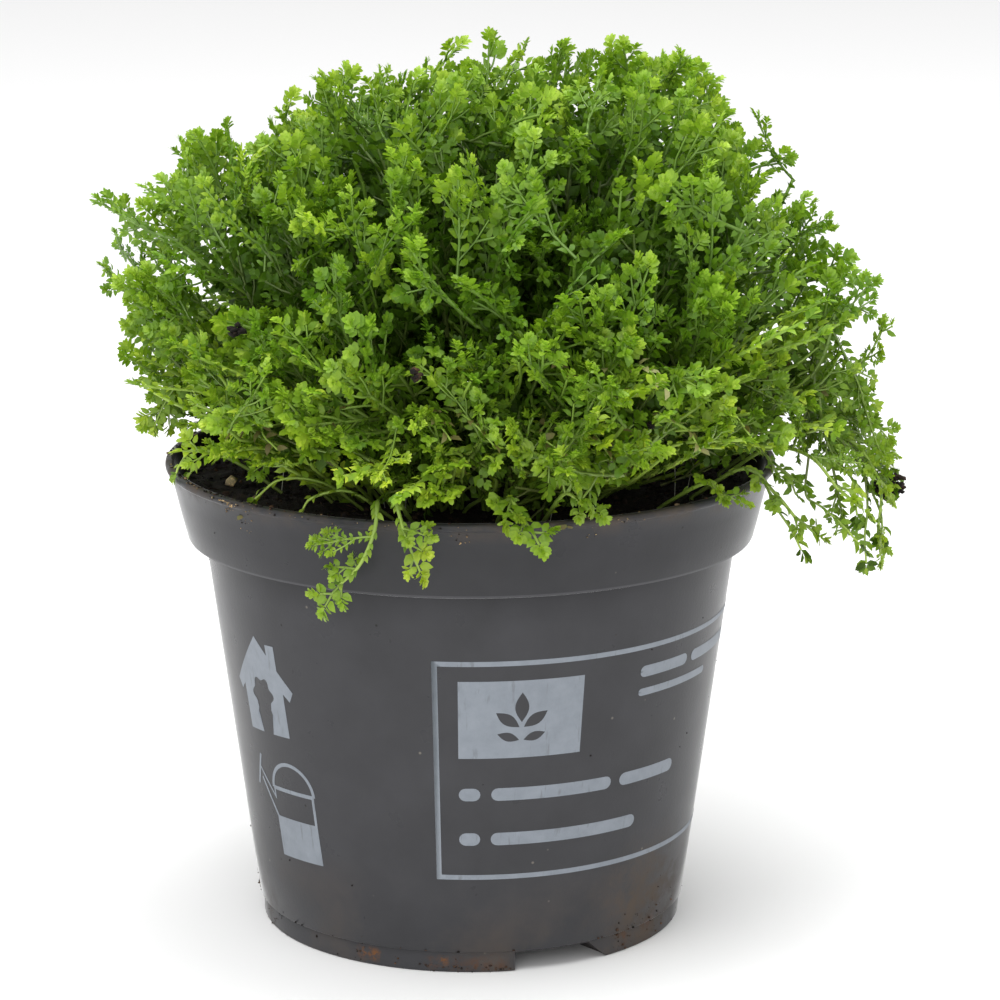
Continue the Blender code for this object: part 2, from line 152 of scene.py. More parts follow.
# Light: name, place, size and power of each lamp.
SKY_POWER, LIT_PLACE = .86, Vector((0, 0, .1))
LAMPS = (("key", (-.45, -.65, 1.4), .9, 11), ("top", (.25, .1, 1.5), 1.1, 11.5),
         ("front", (-.15, -1.4, .40), 1.0, 5))
world = bpy.data.worlds.new("studio")
bpy.context.scene.world = world
world.use_nodes = True
put(world.node_tree, world.node_tree.nodes["Background"], {0: (1, 1, 1), 1: SKY_POWER})
for name, where, size, power in LAMPS:
    lamp = bpy.data.lights.new(name, "AREA")
    lamp.shape, lamp.size, lamp.energy = "DISK", size, power
    ob = put_in_scene(name, lamp)
    ob.location = where
    ob.rotation_euler = (LIT_PLACE - Vector(where)).to_track_quat("-Z", "Y").to_euler()


# Materials of the plant and the soil. Each point of a mesh carries a tone, how
# warm it is, and a number called vary that differs by leaf and by crumb.
def leaf_material():
    m, t, b = new_material("leaf")
    tone, vary = attribute(t, "tone"), attribute(t, "vary")
    base = ramp(t, tone, (
        (.00, (.009, .018, .003)), (.25, (.040, .086, .006)), (.50, (.112, .222, .012)),
        (.75, (.245, .400, .026)), (1.00, (.440, .610, .080))))
    base = times(t, base, ramp(t, vary, (
        (.00, (.70, .84, .74)), (.30, (.88, .95, .90)), (.60, 1.0), (.95, (1.20, 1.10, .85)))))
    # More olive low in the plant, brown to cream where a leaf is dry.
    base = mix(t, attribute(t, "warm"), base, times(t, base, (1.36, 1.14, 1.34)))
    base = mix(t, ramp(t, vary, ((.955, 0), (.965, 1))), base, ramp(t, tone, (
        (.2, (.048, .034, .013)), (.5, (.150, .124, .042)), (.9, (.370, .360, .160)))))
    base = mix(t, ramp(t, noise(t, 1400, 2), ((.45, 0), (.7, .3))), base, (.10, .22, .015))
    put(t, b, {"Base Color": base, "Roughness": .46,
               "Specular IOR Level": ramp(t, tone, ((.10, .08), (.60, .42)))})
    back = node(t, "BsdfTranslucent", {0: times(t, base, (1.5, 1.6, .45))})
    both = node(t, "MixShader", {0: .25, 1: b.outputs[0], 2: back})
    put(t, t.nodes["Material Output"], {0: both})
    return m


def stem_material():
    m, t, b = new_material("stem")
    base = ramp(t, attribute(t, "tone"), (
        (0, (.030, .028, .010)), (.3, (.050, .090, .012)),
        (.6, (.100, .210, .020)), (1.0, (.220, .400, .045))))
    base = mix(t, attribute(t, "warm"), base, times(t, base, (1.9, 1.45, 1.9)))
    base = mix(t, product(t, noise(t, 700, 2), .3), base, (.20, .25, .06))
    put(t, b, {"Base Color": base, "Roughness": .45})
    return m


def thread_material():
    m, t, b = new_material("root_thread")
    put(t, b, {"Roughness": .4, "Base Color": ramp(t, noise(t, 500, 2), (
        (.3, (.42, .42, .34)), (.7, (.60, .60, .52))))})
    return m


def peat_material():
    m, t, b = new_material("peat")
    base = ramp(t, noise(t, 420, 6, .7), (
        (.30, (.004, .003, .002)), (.52, (.012, .008, .006)),
        (.66, (.030, .018, .011)), (.78, (.085, .052, .030))))
    # Brown grit from a vary of .86, a pale pebble at 1.
    base = times(t, base, ramp(t, attribute(t, "vary"), (
        (0, (.45, .42, .42)), (.55, 1), (.86, (2.4, 2.0, 1.7)), (.95, (7.0, 6.0, 5.0)),
        (1.00, (60.0, 70.0, 55.0)))))
    put(t, b, {"Base Color": base, "Roughness": .9, "Specular IOR Level": .3})
    bump(t, b, noise(t, 1500, 5, .7), .8, .0006)
    return m


LEAF_NO, STEM_NO, PEAT_NO, THREAD_NO = range(4)
PLANT = leaf_material(), stem_material(), peat_material(), thread_material()
LEAF, PEAT = PLANT[LEAF_NO], PLANT[PEAT_NO]
ONLY = 0        # the number of a piece's one material
FRESH = .93     # the largest vary of a fresh leaf
DRY = .985      # the vary of a dry leaf; all above .965 look dry
WARM_Z, WARM_DEEP = 98, 34      # warm up to this height, then less over so many mm


class Heap:
    """Collects vertices, triangles, material numbers and attributes."""

    def __init__(self):
        self.rows, self.n = [], 0

    def add(self, v, f, mat, tone, vary):
        v = np.asarray(v, float)
        self.rows.append((v, np.asarray(f, int) + self.n, np.broadcast_to(mat, len(f)),
                          np.broadcast_to(tone, len(v)), np.broadcast_to(vary, len(v))))
        self.n += len(v)

    def arrays(self):
        return [np.concatenate(column) for column in zip(*self.rows)]


def mesh_piece(name, heap, mats):
    """A heap, in millimetres, as an object that rides on the body."""
    verts, tris, numbers, tone, vary = heap.arrays()
    nv, nt = len(verts), len(tris)
    me = bpy.data.meshes.new(name)
    me.vertices.add(nv)
    me.vertices.foreach_set("co", (verts.astype(np.float32) * MM).ravel())
    me.loops.add(nt * 3)
    me.loops.foreach_set("vertex_index", tris.astype(np.int32).ravel())
    me.polygons.add(nt)
    for m in mats:
        me.materials.append(m)
    for key, values in (("loop_start", np.arange(0, nt * 3, 3)), ("loop_total", np.full(nt, 3)),
                        ("material_index", numbers)):
        me.polygons.foreach_set(key, values.astype(np.int32))
    warm = 1 - np.clip((verts[:, 2] - WARM_Z) / WARM_DEEP, 0, 1)
    for key, values in (("tone", tone), ("vary", vary), ("warm", warm)):
        me.attributes.new(key, "FLOAT", "POINT").data.foreach_set("value", values.astype(np.float32))
    me.update(calc_edges=True)
    me.validate()
    me.shade_smooth()
    ob = put_in_scene(name, me)
    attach(ob, "root")
    return ob


# Shapes
X, UP = np.array([1.0, 0, 0]), np.array([0, 0, 1.0])


def unit(v):
    return v / (np.linalg.norm(v) + 1e-12)


def turn(v, axis, angle):
    """v turned about a unit axis."""
    return v * math.cos(angle) + np.cross(axis, v) * math.sin(angle) \
        + axis * np.dot(axis, v) * (1 - math.cos(angle))


def across(v, d):
    """The part of v that is square to the unit direction d."""
    return v - d * np.dot(v, d)


def jitter(rng, spread):
    return np.array([rng.gauss(0, spread) for _ in range(3)])


def plan(r, az):
    """X and Y at a radius and an azimuth; azimuth 0 is the front."""
    a = math.radians(az)
    return r * math.sin(a), -r * math.cos(a)


def point_on(points, step):
    """The point some steps along a line of points, and the direction there."""
    k = min(int(step), len(points) - 2)
    way = points[k + 1] - points[k]
    return points[k] + way * (step - k), unit(way)


def station(path, f):
    """The point at a share of a twig's path, its direction and its normal."""
    n = len(path) - 1
    k = min(int(f * n), n - 1)
    p, (q, d, up) = path[k][0], path[k + 1]
    return p + (q - p) * (f * n - k), d, up


def smooth(points, steps):
    """Points along a smooth curve through the given points."""
    p = [np.asarray(q, float) for q in points]
    p = [2 * p[0] - p[1], *p, 2 * p[-1] - p[-2]]
    out = []
    for k in range(1, len(p) - 2):
        a, b, c, d = p[k - 1:k + 3]
        for j in range(steps):
            t = j / steps
            out.append(.5 * (2 * b + (c - a) * t + (2 * a - 5 * b + 4 * c - d) * t * t
                              + (3 * b - a - 3 * c + d) * t ** 3))
    return out + [p[-2]]


# Leaf outlines in leaf lengths and leaf half widths.
FOUR = np.array([(0, 5, 1), (1, 5, 4), (1, 4, 2), (2, 4, 3)])
LEAF6 = (np.array([(0, 0, -.02), (.36, .88, .06), (.82, .66, 0),
                   (1, 0, -.10), (.82, -.66, 0), (.36, -.88, .06)]), FOUR)
OVATE = (np.array([(0, 0, -.04), (.28, .90, .10), (.68, .78, .08),
                   (1, 0, -.16), (.68, -.78, .08), (.28, -.90, .10)]), FOUR)
LEAF4 = (np.array([(0, 0, -.04), (.42, 1, .10), (1, 0, -.12), (.42, -1, .10)]),
         np.array([(0, 2, 1), (0, 3, 2)]))


def put_leaf(heap, shape, p, d, n, length, wide, tone, vary, slope=.12):
    """A leaf from p along d, its face along n, its tone changing along it."""
    v, f = shape
    w = p + np.outer(v[:, 0] * length, d) + np.outer(v[:, 1] * (length * wide), np.cross(n, d)) \
        + np.outer(v[:, 2] * length, n)
    heap.add(w, f, LEAF_NO, np.clip(tone + slope * (v[:, 0] - .4), 0, 1), vary)


def tube(points, radii, sides=3):
    """Vertices and triangles of a thin open tube through points."""
    p = np.asarray(points, float)
    d = np.gradient(p, axis=0)
    d /= np.linalg.norm(d, axis=1)[:, None] + 1e-9
    ref = np.array([.31, .17, .94]) if abs(d[0][2]) < .8 else np.array([1.0, .2, .1])
    x = np.cross(d, ref)
    x /= np.linalg.norm(x, axis=1)[:, None] + 1e-9
    y = np.cross(d, x)
    s = 2 * math.pi * np.arange(sides) / sides
    r = np.asarray(radii, float)[:, None, None]
    v = p[:, None] + r * (x[:, None] * np.cos(s)[None, :, None] + y[:, None] * np.sin(s)[None, :, None])
    k = np.arange(len(p) - 1)[:, None] * sides
    j = np.arange(sides)[None]
    i = (j + 1) % sides
    a, b, c, e = k + j, k + i, k + sides + i, k + sides + j
    f = np.stack([np.stack([a, b, c], -1), np.stack([a, c, e], -1)], 2)
    return v.reshape(-1, 3), f.reshape(-1, 3)


def put_stem(heap, points, r0, r1, tone, sides=3, mat=STEM_NO):
    n = len(points)
    v, f = tube(points, np.linspace(r0, r1, n), sides)
    heap.add(v, f, mat, np.repeat(np.broadcast_to(tone, n), sides), .5)


ICO = bmesh.new()
bmesh.ops.create_icosphere(ICO, subdivisions=1, radius=1)
ICO_V = np.array([tuple(q.co) for q in ICO.verts])
ICO_F = np.array([[q.index for q in t.verts] for t in ICO.faces])
ICO.free()


def crumb(heap, p, size, rng, vary=None, mat=ONLY):
    """An irregular crumb of peat or grit."""
    j = np.array([rng.uniform(.55, 1.35) for _ in ICO_V])[:, None]
    s = np.array([rng.uniform(.6, 1.4), rng.uniform(.6, 1.2), rng.uniform(.45, .9)])
    a = rng.uniform(0, 6.28)
    v = ICO_V * j * s * size
    x = v[:, 0] * math.cos(a) - v[:, 1] * math.sin(a)
    y = v[:, 0] * math.sin(a) + v[:, 1] * math.cos(a)
    heap.add(np.stack([x, y, v[:, 2]], 1) + p, ICO_F, mat, .5, rng.random() * .9 if vary is None else vary)


# The crowded leaves at the tip of a twig: place along it, angle from it,
# length. The first lie to both sides, the next above and below (1, -1), and
# the last end it, each leaning aside and up by a share.
FAN = ((0, 74, 1.80), (.6, 60, 1.80), (1.15, 42, 1.55), (1.6, 22, 1.25))
CROWN = ((.2, 50, 1.5, 1), (.3, 58, 1.4, -1), (.9, 34, 1.3, 1), (.9, 30, 1.2, -1))
ENDS = ((.35, .25), (-.4, .15), (0, -.35))
BARE, FULL, SLIM = range(3)


def put_fan(heap, p, d, n, size, tone, rng, dress):
    """The close-set leaves that end a twig, a small rosette or brush."""
    slim = dress == SLIM
    wide, long, spread = (.25, 1.30, .74) if slim else (.36, 1.0, 1.0)
    n = turn(n, d, rng.gauss(0, .6))
    s = np.cross(n, d)
    d = turn(d, s, rng.uniform(-.5, .3))
    n = np.cross(d, s)
    vary = rng.random() * FRESH

    def leaf(x, go, face, length, shade, slope):
        go = unit(go)
        put_leaf(heap, LEAF6, p + d * x * size, go, unit(across(face, go)), length * long, wide,
                 shade + rng.uniform(-.05, .05), vary, slope)

    for k, (x, a, ln) in enumerate(FAN if dress else FAN[::2] + FAN[3:]):
        for side in (1, -1):
            g = math.radians(a) * spread + rng.uniform(-.16, .16)
            leaf(x, d * math.cos(g) + s * side * math.sin(g) + n * rng.uniform(-.10, .22),
                 n * .75 + d * .6, ln * size * rng.uniform(.82, 1.18), tone - .28 + .09 * k, -.16)
    if dress == BARE:
        return
    for x, a, ln, up in CROWN[::2] if slim else CROWN:
        g = math.radians(a) * spread + rng.uniform(-.16, .16)
        leaf(x, d * math.cos(g) + n * up * math.sin(g) + s * rng.uniform(-.35, .35),
             d - n * up * .3, ln * size * rng.uniform(.82, 1.18), tone - .17 + .12 * x, -.12)
    for side, up in ENDS:
        leaf(1.35, d + s * side + n * up, n + d * .3, 1.15 * size, tone + .16, -.10)


def put_twig(heap, p, d, n, length, bend, r0, r1, tone, rng, gap, leaf, half, fan, dress):
    """A leafy twig. Returns its stations as (point, direction, normal)."""
    k = max(2, int(round(length / (3.6 if dress else 5.0))))
    path = [(p, d, n)]
    for _ in range(k):
        d = unit(turn(d, n, bend / k) + n * rng.gauss(0, .06))
        n = unit(across(n, d))
        p = p + d * (length / k)
        path.append((p, d, n))
    put_stem(heap, [q[0] for q in path], r0, r1, np.linspace(.38, .80, k + 1))
    vary = rng.random()
    count = int(length / gap)
    for q in range(count):
        f = (q + rng.uniform(.45, .75)) / count
        at, along, up = station(path, f)
        s = np.cross(up, along)
        for side in (1, -1):
            g = rng.uniform(.75, 1.15)
            go = unit(along * math.cos(g) + s * side * math.sin(g) + up * rng.uniform(-.10, .45))
            m = across(up, go)
            m = unit(m + np.cross(go, m) * rng.uniform(-.3, .3))
            put_leaf(heap, OVATE if dress else LEAF4, at + s * side * r1, go, m,
                     leaf * rng.uniform(.85, 1.15), half,
                     tone * (.34 + .26 * f) + rng.uniform(-.06, .06), vary)
    if fan:
        put_fan(heap, p, d, n, fan * rng.uniform(.85, 1.12), tone + rng.uniform(-.15, .05), rng, dress)
    return path


# Kinds of sprig: dress, length, bend, half width of its leaves, gap between
# pairs, leaf length, side twigs as (place, both sides), share that fork
# again, fan size, first seed and how many are made.
KINDS = {
    "rich": (FULL, 18.5, .35, .26, 2.2, 2.1, ((.26, 0), (.44, 1), (.63, 1), (.80, 0)), .4, 1.14,
             100, 18),
    "leggy": (SLIM, 22.0, .6, .28, 2.3, 2.5, ((.30, 0), (.50, 0), (.68, 0), (.84, 0)), .3, 1.0,
              150, 12),
    "plain": (BARE, 18.5, .6, .34, 3.0, 2.7, ((.30, 0), (.52, 0), (.76, 0)), 0, 1.1, 200, 8),
}


def make_sprig(seed, dress, length, bend, half, gap, leaf, places, fork, fan):
    """One leafy branchlet some 20 mm long, along +X, forking as it goes."""
    rng = random.Random(seed)
    heap = Heap()
    length *= rng.uniform(.95, 1.05)
    path = put_twig(heap, np.zeros(3), X, UP, length, rng.uniform(-bend, bend), .44, .28, .90, rng,
                    gap, leaf, half, fan, dress)
    side = rng.choice((1, -1))
    for f, both in places:
        f += rng.uniform(-.04, .04)
        at, along, up = station(path, f)
        for sd in ((side, -side) if both else (side,)):
            ln = (8.4 * (1 - f) + 2.4) * rng.uniform(.75, 1.15)
            nn = turn(up, along, rng.gauss(0, .65))
            go = turn(along, nn, sd * rng.uniform(.60, .95))
            tone = .62 + .38 * f
            sub = put_twig(heap, at, go, nn, ln, -sd * rng.uniform(.1, .5), .30, .22, tone, rng,
                           gap * .92, leaf, half, fan * rng.uniform(.85, 1.05), dress)
            if ln > 4.6 and rng.random() < fork:
                q, dd, mm = sub[max(1, int((len(sub) - 1) * rng.uniform(.35, .6)))]
                mm = turn(mm, dd, rng.gauss(0, .4))
                put_twig(heap, q, turn(dd, mm, sd * rng.uniform(.6, .9)), mm,
                         ln * rng.uniform(.32, .5), 0, .26, .22, tone - .05, rng, gap, leaf, half,
                         fan * rng.uniform(.75, .95), dress)
        side = -side
    return heap.arrays()


SPRIGS = {kind: [make_sprig(seed + k, *values) for k in range(count)]
          for kind, (*values, seed, count) in KINDS.items()}


# Where the growth is palest: outside an inner egg shape within the dome. Deeper in it is darker, as older
# growth and as painted shade.
EGG_MIDDLE, EGG_SIZE, EGG_START, EGG_DEEP = (4.0, 0, 98), (78, 78, 74), .50, .45


def light_at(w):
    """How light the growth is at a place: paler near the dome's outside as fresher growth, darker deeper in
    as older growth and painted shade.
    """
    q = (w - np.array(EGG_MIDDLE)) / np.array(EGG_SIZE)
    return np.clip((np.linalg.norm(q, axis=-1) - EGG_START) / EGG_DEEP, 0, 1)


def put_sprig(heap, shape, base, tip, face, curve, tone, rng, twist, widen, inner):
    """Lays a sprig along an arc from base to tip, its face along face."""
    v, f, m, tn, vr = shape
    way = tip - base
    size = np.linalg.norm(way)
    along = way / size
    side = unit(np.cross(face, along))
    up = np.cross(along, side)
    along0 = along * math.cos(curve) + up * math.sin(curve)
    up0 = up * math.cos(curve) - along * math.sin(curve)
    x, y, z = (v * (size / v[:, 0].max())).T
    y = y * widen * rng.choice((1, -1))
    k = 2 * curve / size
    k = 1e-4 if abs(k) < 1e-4 else k
    al = np.clip(k * x, -1.5, 2.5)
    roll = twist * x / size
    c = base + np.outer(np.sin(al) / k, along0) - np.outer((1 - np.cos(al)) / k, up0)
    ux = np.outer(np.cos(al), up0) + np.outer(np.sin(al), along0)
    sd = side[None] * np.cos(roll)[:, None] + ux * np.sin(roll)[:, None]
    ux = ux * np.cos(roll)[:, None] - side[None] * np.sin(roll)[:, None]
    w = c + sd * y[:, None] + ux * z[:, None]
    lo, hi = tone
    # Deeper in the dome the tone falls: older growth and painted shade.
    out = (lo + (hi - lo) * tn) * (inner + (1 - inner) * light_at(w)) + rng.uniform(-.05, .05)
    heap.add(w, f, m, np.clip(out, 0, 1), np.clip(vr * .5 + rng.uniform(0, .45), 0, FRESH))


# Dome. A ring of tufts: dome angle from and to, tufts, sprigs that fill it.
DOME_Z, DOME_R, DOME_H = 112.0, 80.0, 65.0
RINGS = ((.00, .20, 1, 2), (.20, .66, 6, 3), (.66, 1.18, 9, 5), (1.18, 1.78, 12, 8))
U_MAX, STEM_SPREAD = 1.78, 36.0
LEAN_Z = (95, 101, 118, 130, 140, 150, 160, 170, 178)
LEAN_X = (0, 4.5, 5.5, 3.0, .5, 1.5, 4.0, 9.0, 13.0)


def flow(u, th, t):
    """Point on the flow line of dome angle u, azimuth th, share t."""
    re, ze = DOME_R * math.sin(u), DOME_Z + DOME_H * math.cos(u)
    r0, z0 = STEM_SPREAD * (max(u, 0) / U_MAX) ** .85, 91.0
    r1 = r0 + .28 * (re - r0)
    z1 = z0 + .55 * (ze - z0) + 11.0 * (u / U_MAX) ** 2
    if t <= 1:
        w0, w1, w2 = (1 - t) ** 2, 2 * t * (1 - t), t * t
        r, z = w0 * r0 + w1 * r1 + w2 * re, w0 * z0 + w1 * z1 + w2 * ze
    else:
        r, z = re + 2 * (t - 1) * (re - r1), ze + 2 * (t - 1) * (ze - z1)
    x, y = r * math.sin(th), -r * math.cos(th)
    return np.array([x + np.interp(z, LEAN_Z, LEAN_X), y * .985, z])


class Cell:
    """The share of the dome that belongs to one tuft."""

    def __init__(self, u0, u1, th, dth):
        self.centre = u0 <= 0
        self.u, self.du = (0, u1) if self.centre else ((u0 + u1) / 2, (u1 - u0) / 2)
        self.th, self.dth = th, dth

    def at(self, a, b, t):
        if self.centre:
            return flow(self.du * math.hypot(a, b), math.atan2(b, a), t)
        return flow(self.u + a * self.du, self.th + b * self.dth, t)

    def half(self, t):
        """Half the cell's size in mm across and along rings, and per t."""
        p = self.at(0, 0, t)
        if self.centre:
            hu = hv = np.linalg.norm(self.at(.5, 0, t) - p) * 2
        else:
            hu = np.linalg.norm(self.at(.5, 0, t) - self.at(-.5, 0, t))
            hv = np.linalg.norm(self.at(0, .5, t) - self.at(0, -.5, t))
        return hu, hv, np.linalg.norm(self.at(0, 0, t + .05) - p) / .05


def aside(d, side, up, ahead, rise, rng):
    """Direction and face of a leaf that stands off beside a stem."""
    go = unit(d * rng.uniform(*ahead) + side + up * rng.uniform(*rise))
    m = unit(across(up, go))
    return go, unit(m + np.cross(go, m) * rng.uniform(-.5, .5))


def leafy_stem(heap, path, radii, start, gap, tones, rng, fan=1.1, dry=False):
    """A thin stem along a path with spaced leaves and a fan."""
    lo, hi = tones
    put_stem(heap, path, *radii, np.linspace(lo, 1, len(path)), 4)
    p = np.array(path)
    step = np.linalg.norm(np.diff(p, axis=0), axis=1)
    run = np.concatenate([[0], np.cumsum(step)])
    face = unit(np.array([rng.gauss(0, .4), rng.gauss(0, .4), 1]))
    vary = rng.random()
    at, sign = run[-1] * start, 1
    while at < run[-1]:
        k = min(int(np.searchsorted(run, at)), len(step)) - 1
        q = p[k] + (p[k + 1] - p[k]) * ((at - run[k]) / (step[k] + 1e-9))
        d = unit(p[k + 1] - p[k])
        s = unit(np.cross(d, face))
        go, m = aside(d, sign * s, np.cross(s, d), (.6, 1.3), (-.3, .7), rng)
        put_leaf(heap, OVATE, q, go, m, rng.uniform(2.0, 3.0), .25,
                 lo + (hi - lo) * at / run[-1] + rng.uniform(-.08, .08),
                 DRY if dry else min(vary * .6 + rng.uniform(0, .3), FRESH))
        at += gap * .5 * rng.uniform(.7, 1.3)
        sign = -sign
    if not dry:
        d = unit(p[-1] - p[-2])
        put_fan(heap, p[-1], d, unit(across(face, d)), fan, hi, rng, SLIM)


def face_for(along, rng, spread):
    """The way a sprig faces: upward, turned at random about its length."""
    side = np.cross(along, UP)
    if np.linalg.norm(side) < .25:
        side = side + np.array([rng.uniform(-1, 1), rng.uniform(-1, 1), 0])
    side = unit(side)
    up = np.cross(side, along)
    a = rng.gauss(0, spread)
    return unit(up * math.cos(a) + side * math.sin(a))


# Crumbs of peat caught among the leaves: place and size. Large ones have a core.
CAUGHT = (((82.2, -6, 87.6), 3.5), ((-42, -54, 127.8), 1.5), ((-9, -70, 122.6), 1.2),
          ((33, -61, 111.5), .8), ((-56, 20, 108), 1.0), ((20, 64, 117), 1.3))
LARGE, MANY, FEW = 2, 90, 22


def put_caught(heap, where, size, rng):
    """A clump of crumbs round a place."""
    if size > LARGE:
        crumb(heap, where, size * .62, rng, mat=PEAT_NO)
    for _ in range(MANY if size > LARGE else FEW):
        off = jitter(rng, 1)
        off *= .42 * size * min(1, 1.9 / np.linalg.norm(off))
        crumb(heap, np.array(where) + off, rng.uniform(.3, .6) * min(size, 1.6), rng, mat=PEAT_NO)


# Hollows of the dome's surface: middle, and how wide each is.
HOLLOWS = ((18, -52, 152, 11), (-9, -62, 136, 9), (-12, -72, 112, 9), (46, -56, 124, 10),
           (-50, -46, 128, 9), (30, -34, 166, 8), (2, -80, 104, 8), (-28, -30, 162, 8),
           (62, -38, 116, 8), (20, 60, 140, 10), (-40, 56, 126, 10), (52, 50, 122, 9),
           (-66, 8, 124, 9), (70, 14, 120, 9))
HOLLOW_WIDE, HOLLOW_DEEP = 1.3, .26


def hollow(p):
    """How far a place is drawn in, as a share of the way out."""
    deep = .0
    for *c, r in HOLLOWS:
        d = np.linalg.norm(p - c) / (r * HOLLOW_WIDE)
        if d < 1:
            deep = max(deep, HOLLOW_DEEP * (1 - d * d))
    return deep


# How far the plant reaches, seen from the front, by direction in degrees
# about its middle: 0 is to the right and 90 is up.
REACH = ((-60, 1.0), (-30, 1.03), (-18, 1.035), (-12, .96), (-6, .88), (0, .59), (6, .885),
         (12, .89), (18, .98), (24, .985), (30, .98), (36, .985), (42, .93), (48, 1.055),
         (54, 1.07), (60, 1.035), (66, .99), (72, 1.03), (79, .91), (84, .99), (90, .93),
         (97, .99), (103, 1.03), (108, .80), (114, .985), (120, 1.0), (126, .97), (132, .95),
         (139, .92), (144, 1.04), (150, .995), (156, .935), (162, 1.015), (168, .86), (174, .83),
         (180, .98), (187, .84), (193, .93), (205, 1.0), (240, 1.0))
MIDDLE = np.array((5.8, 0, 112.0))


def shaped(p):
    """A place moved out or in to the plant's uneven outline."""
    d = p - MIDDLE
    a = math.degrees(math.atan2(d[2], d[0]))
    a += 360 if a < REACH[0][0] else 0
    f = np.interp(a, *zip(*REACH)) - 1
    w = (d[0] ** 2 + d[2] ** 2) / (np.dot(d, d) + 1e-9)
    return p + np.array((d[0], 0, d[2])) * f * w * w


# Tips of the sprigs that stand out of the outline, in millimetres.
OUTLIERS = (
    (-73, -4, 139.5), (-70.5, 0, 134.5), (-66, 8, 143), (-58, -8, 148), (-51, -4, 155), (-55, 4, 153),
    (-49, -3, 158), (-45, -8, 160), (-67, -6, 127), (-69, 8, 120), (-67, -12, 104), (-67, 0, 112),
    (-61, 6, 98), (-39, 0, 160), (-32, -6, 166), (-24, 4, 167), (0, -4, 168), (10, 6, 170),
    (22, -4, 174), (36, -6, 173), (42, 2, 172), (45, 8, 168), (49, -4, 163), (52, 6, 159),
    (62, 4, 145), (71, -8, 141), (76, 2, 135), (78, -6, 131), (76, 6, 128), (83.5, -2, 121),
    (63, -14, 92), (70, -12, 91), (66, -8, 96), (73, -6, 94), (80, -10, 102), (82, 4, 96),
    (79, -12, 92), (75, 2, 95), (60, -30, 93), (68, -14, 96), (78, 10, 99), (72, 16, 94),
    (82, -12, 87), (81, 0, 85), (83, 2, 90), (78, -8, 78), (-60, 40, 112), (44, 62, 118),
    (-30, 72, 116), (10, 73, 109), (60, 48, 104))

# Stems that arch low over the soil, in millimetres.
ARCHES = (
    ((-36, -22, 90), (-43, -22, 95), (-49, -22, 98), (-53, -22, 98.5), (-55.5, -22, 95.5),
     (-56.2, -21.5, 93.8)),
    ((-26, -30, 90), (-32, -32, 96), (-37, -33, 99), (-41, -33, 99.5)),
    ((-20, -36, 90), (-27, -40, 96), (-35, -41, 97), (-40, -40, 93)),
    ((-14, -44, 90), (-22, -47, 96), (-29, -48, 95), (-31, -48, 92)),
    ((-30, -12, 90), (-40, -14, 97), (-50, -16, 97), (-54, -16, 92.5)))

# Old stems with cream and brown leaves: start and end in millimetres, tone.
OLD = (
    ((31, -64, 123), (36, -67, 119), .85), ((25, -62, 122), (29, -65, 118), .6),
    ((15, -61, 124), (19, -64, 120), .45), ((13, -66, 111), (17, -68, 108), .6),
    ((1, -66, 113), (5, -68, 109), .5), ((-6, -65, 114), (-3, -67, 110), .55),
    ((39, -60, 111), (42, -62, 107), .65), ((23, -62, 110), (26, -64, 106), .5),
    ((-26, -60, 113), (-23, -62, 109), .55), ((49, -49, 111), (52, -51, 107), .5),
    ((-38, -49, 108), (-35, -52, 105), .5), ((29, 57, 111), (32, 60, 106), .5),
    ((-29, 57, 111), (-32, 60, 107), .55))

# How many there are in a tuft. The solids draw more numbers for each spray,
# and these are passed over here so that both come to the same places.
SPRAYS, UNUSED_DRAWS, INNER, INNERMOST, TRUNKS, DARK_LEAVES, THIN_STEMS = 5, 10, 22, 10, 6, 200, 16
LOW_RING = 1.3      # dome angle from which a tuft also has thin stems


def plan_sprigs(rng, own, cell, fill):
    """A tuft's sprigs: place in the cell, share of the way, length, kind."""
    jobs = []
    around = rng.uniform(0, 2 * math.pi)
    for j in range(SPRAYS):
        if j == 0:
            reach, t1, wide = .10, rng.uniform(1.0, 1.045), 9.5
            t1 = min(t1, 1.01) if cell.u < .9 else t1
        else:
            reach, t1, wide = rng.uniform(.90, 1.00), rng.uniform(.93, 1.01), rng.uniform(12.0, 14.0)
        phi = around + 2 * math.pi * j / (SPRAYS - 1) + rng.uniform(-.15, .15)
        for _ in range(UNUSED_DRAWS):
            rng.random()
        ca, sa = math.cos(phi), math.sin(phi)
        hu, hv, _ = cell.half(.9)
        for off in ((-.42, .42) if j else (0,)):
            w = off * wide
            t = t1 - own.uniform(0, .045)
            a, b = np.clip((ca * reach * .94 - sa * w / hu, sa * reach * .94 + ca * w / hv), -.95, .95)
            jobs.append((a, b, t, own.uniform(19, 25), "rich"))
    for j in range(fill):
        a = ((j * .618 + own.uniform(-.12, .12)) % 1) * 2 - 1
        b = ((j + own.uniform(.1, .9)) / fill) * 2 - 1
        if cell.centre and math.hypot(a, b) > 1:
            a, b = a * .7, b * .7
        jobs.append((a, b, 1.0 - abs(own.gauss(0, .07)), own.uniform(18, 25),
                     "leggy" if own.random() < .6 else "rich"))
    for count, wide, way, length in ((INNER, .95, (.62, .88), (18, 25)),
                                     (INNERMOST, .9, (.45, .62), (17, 22))):
        jobs += [(own.uniform(-wide, wide), own.uniform(-wide, wide), own.uniform(*way),
                  own.uniform(*length), "plain") for _ in range(count)]
    return jobs


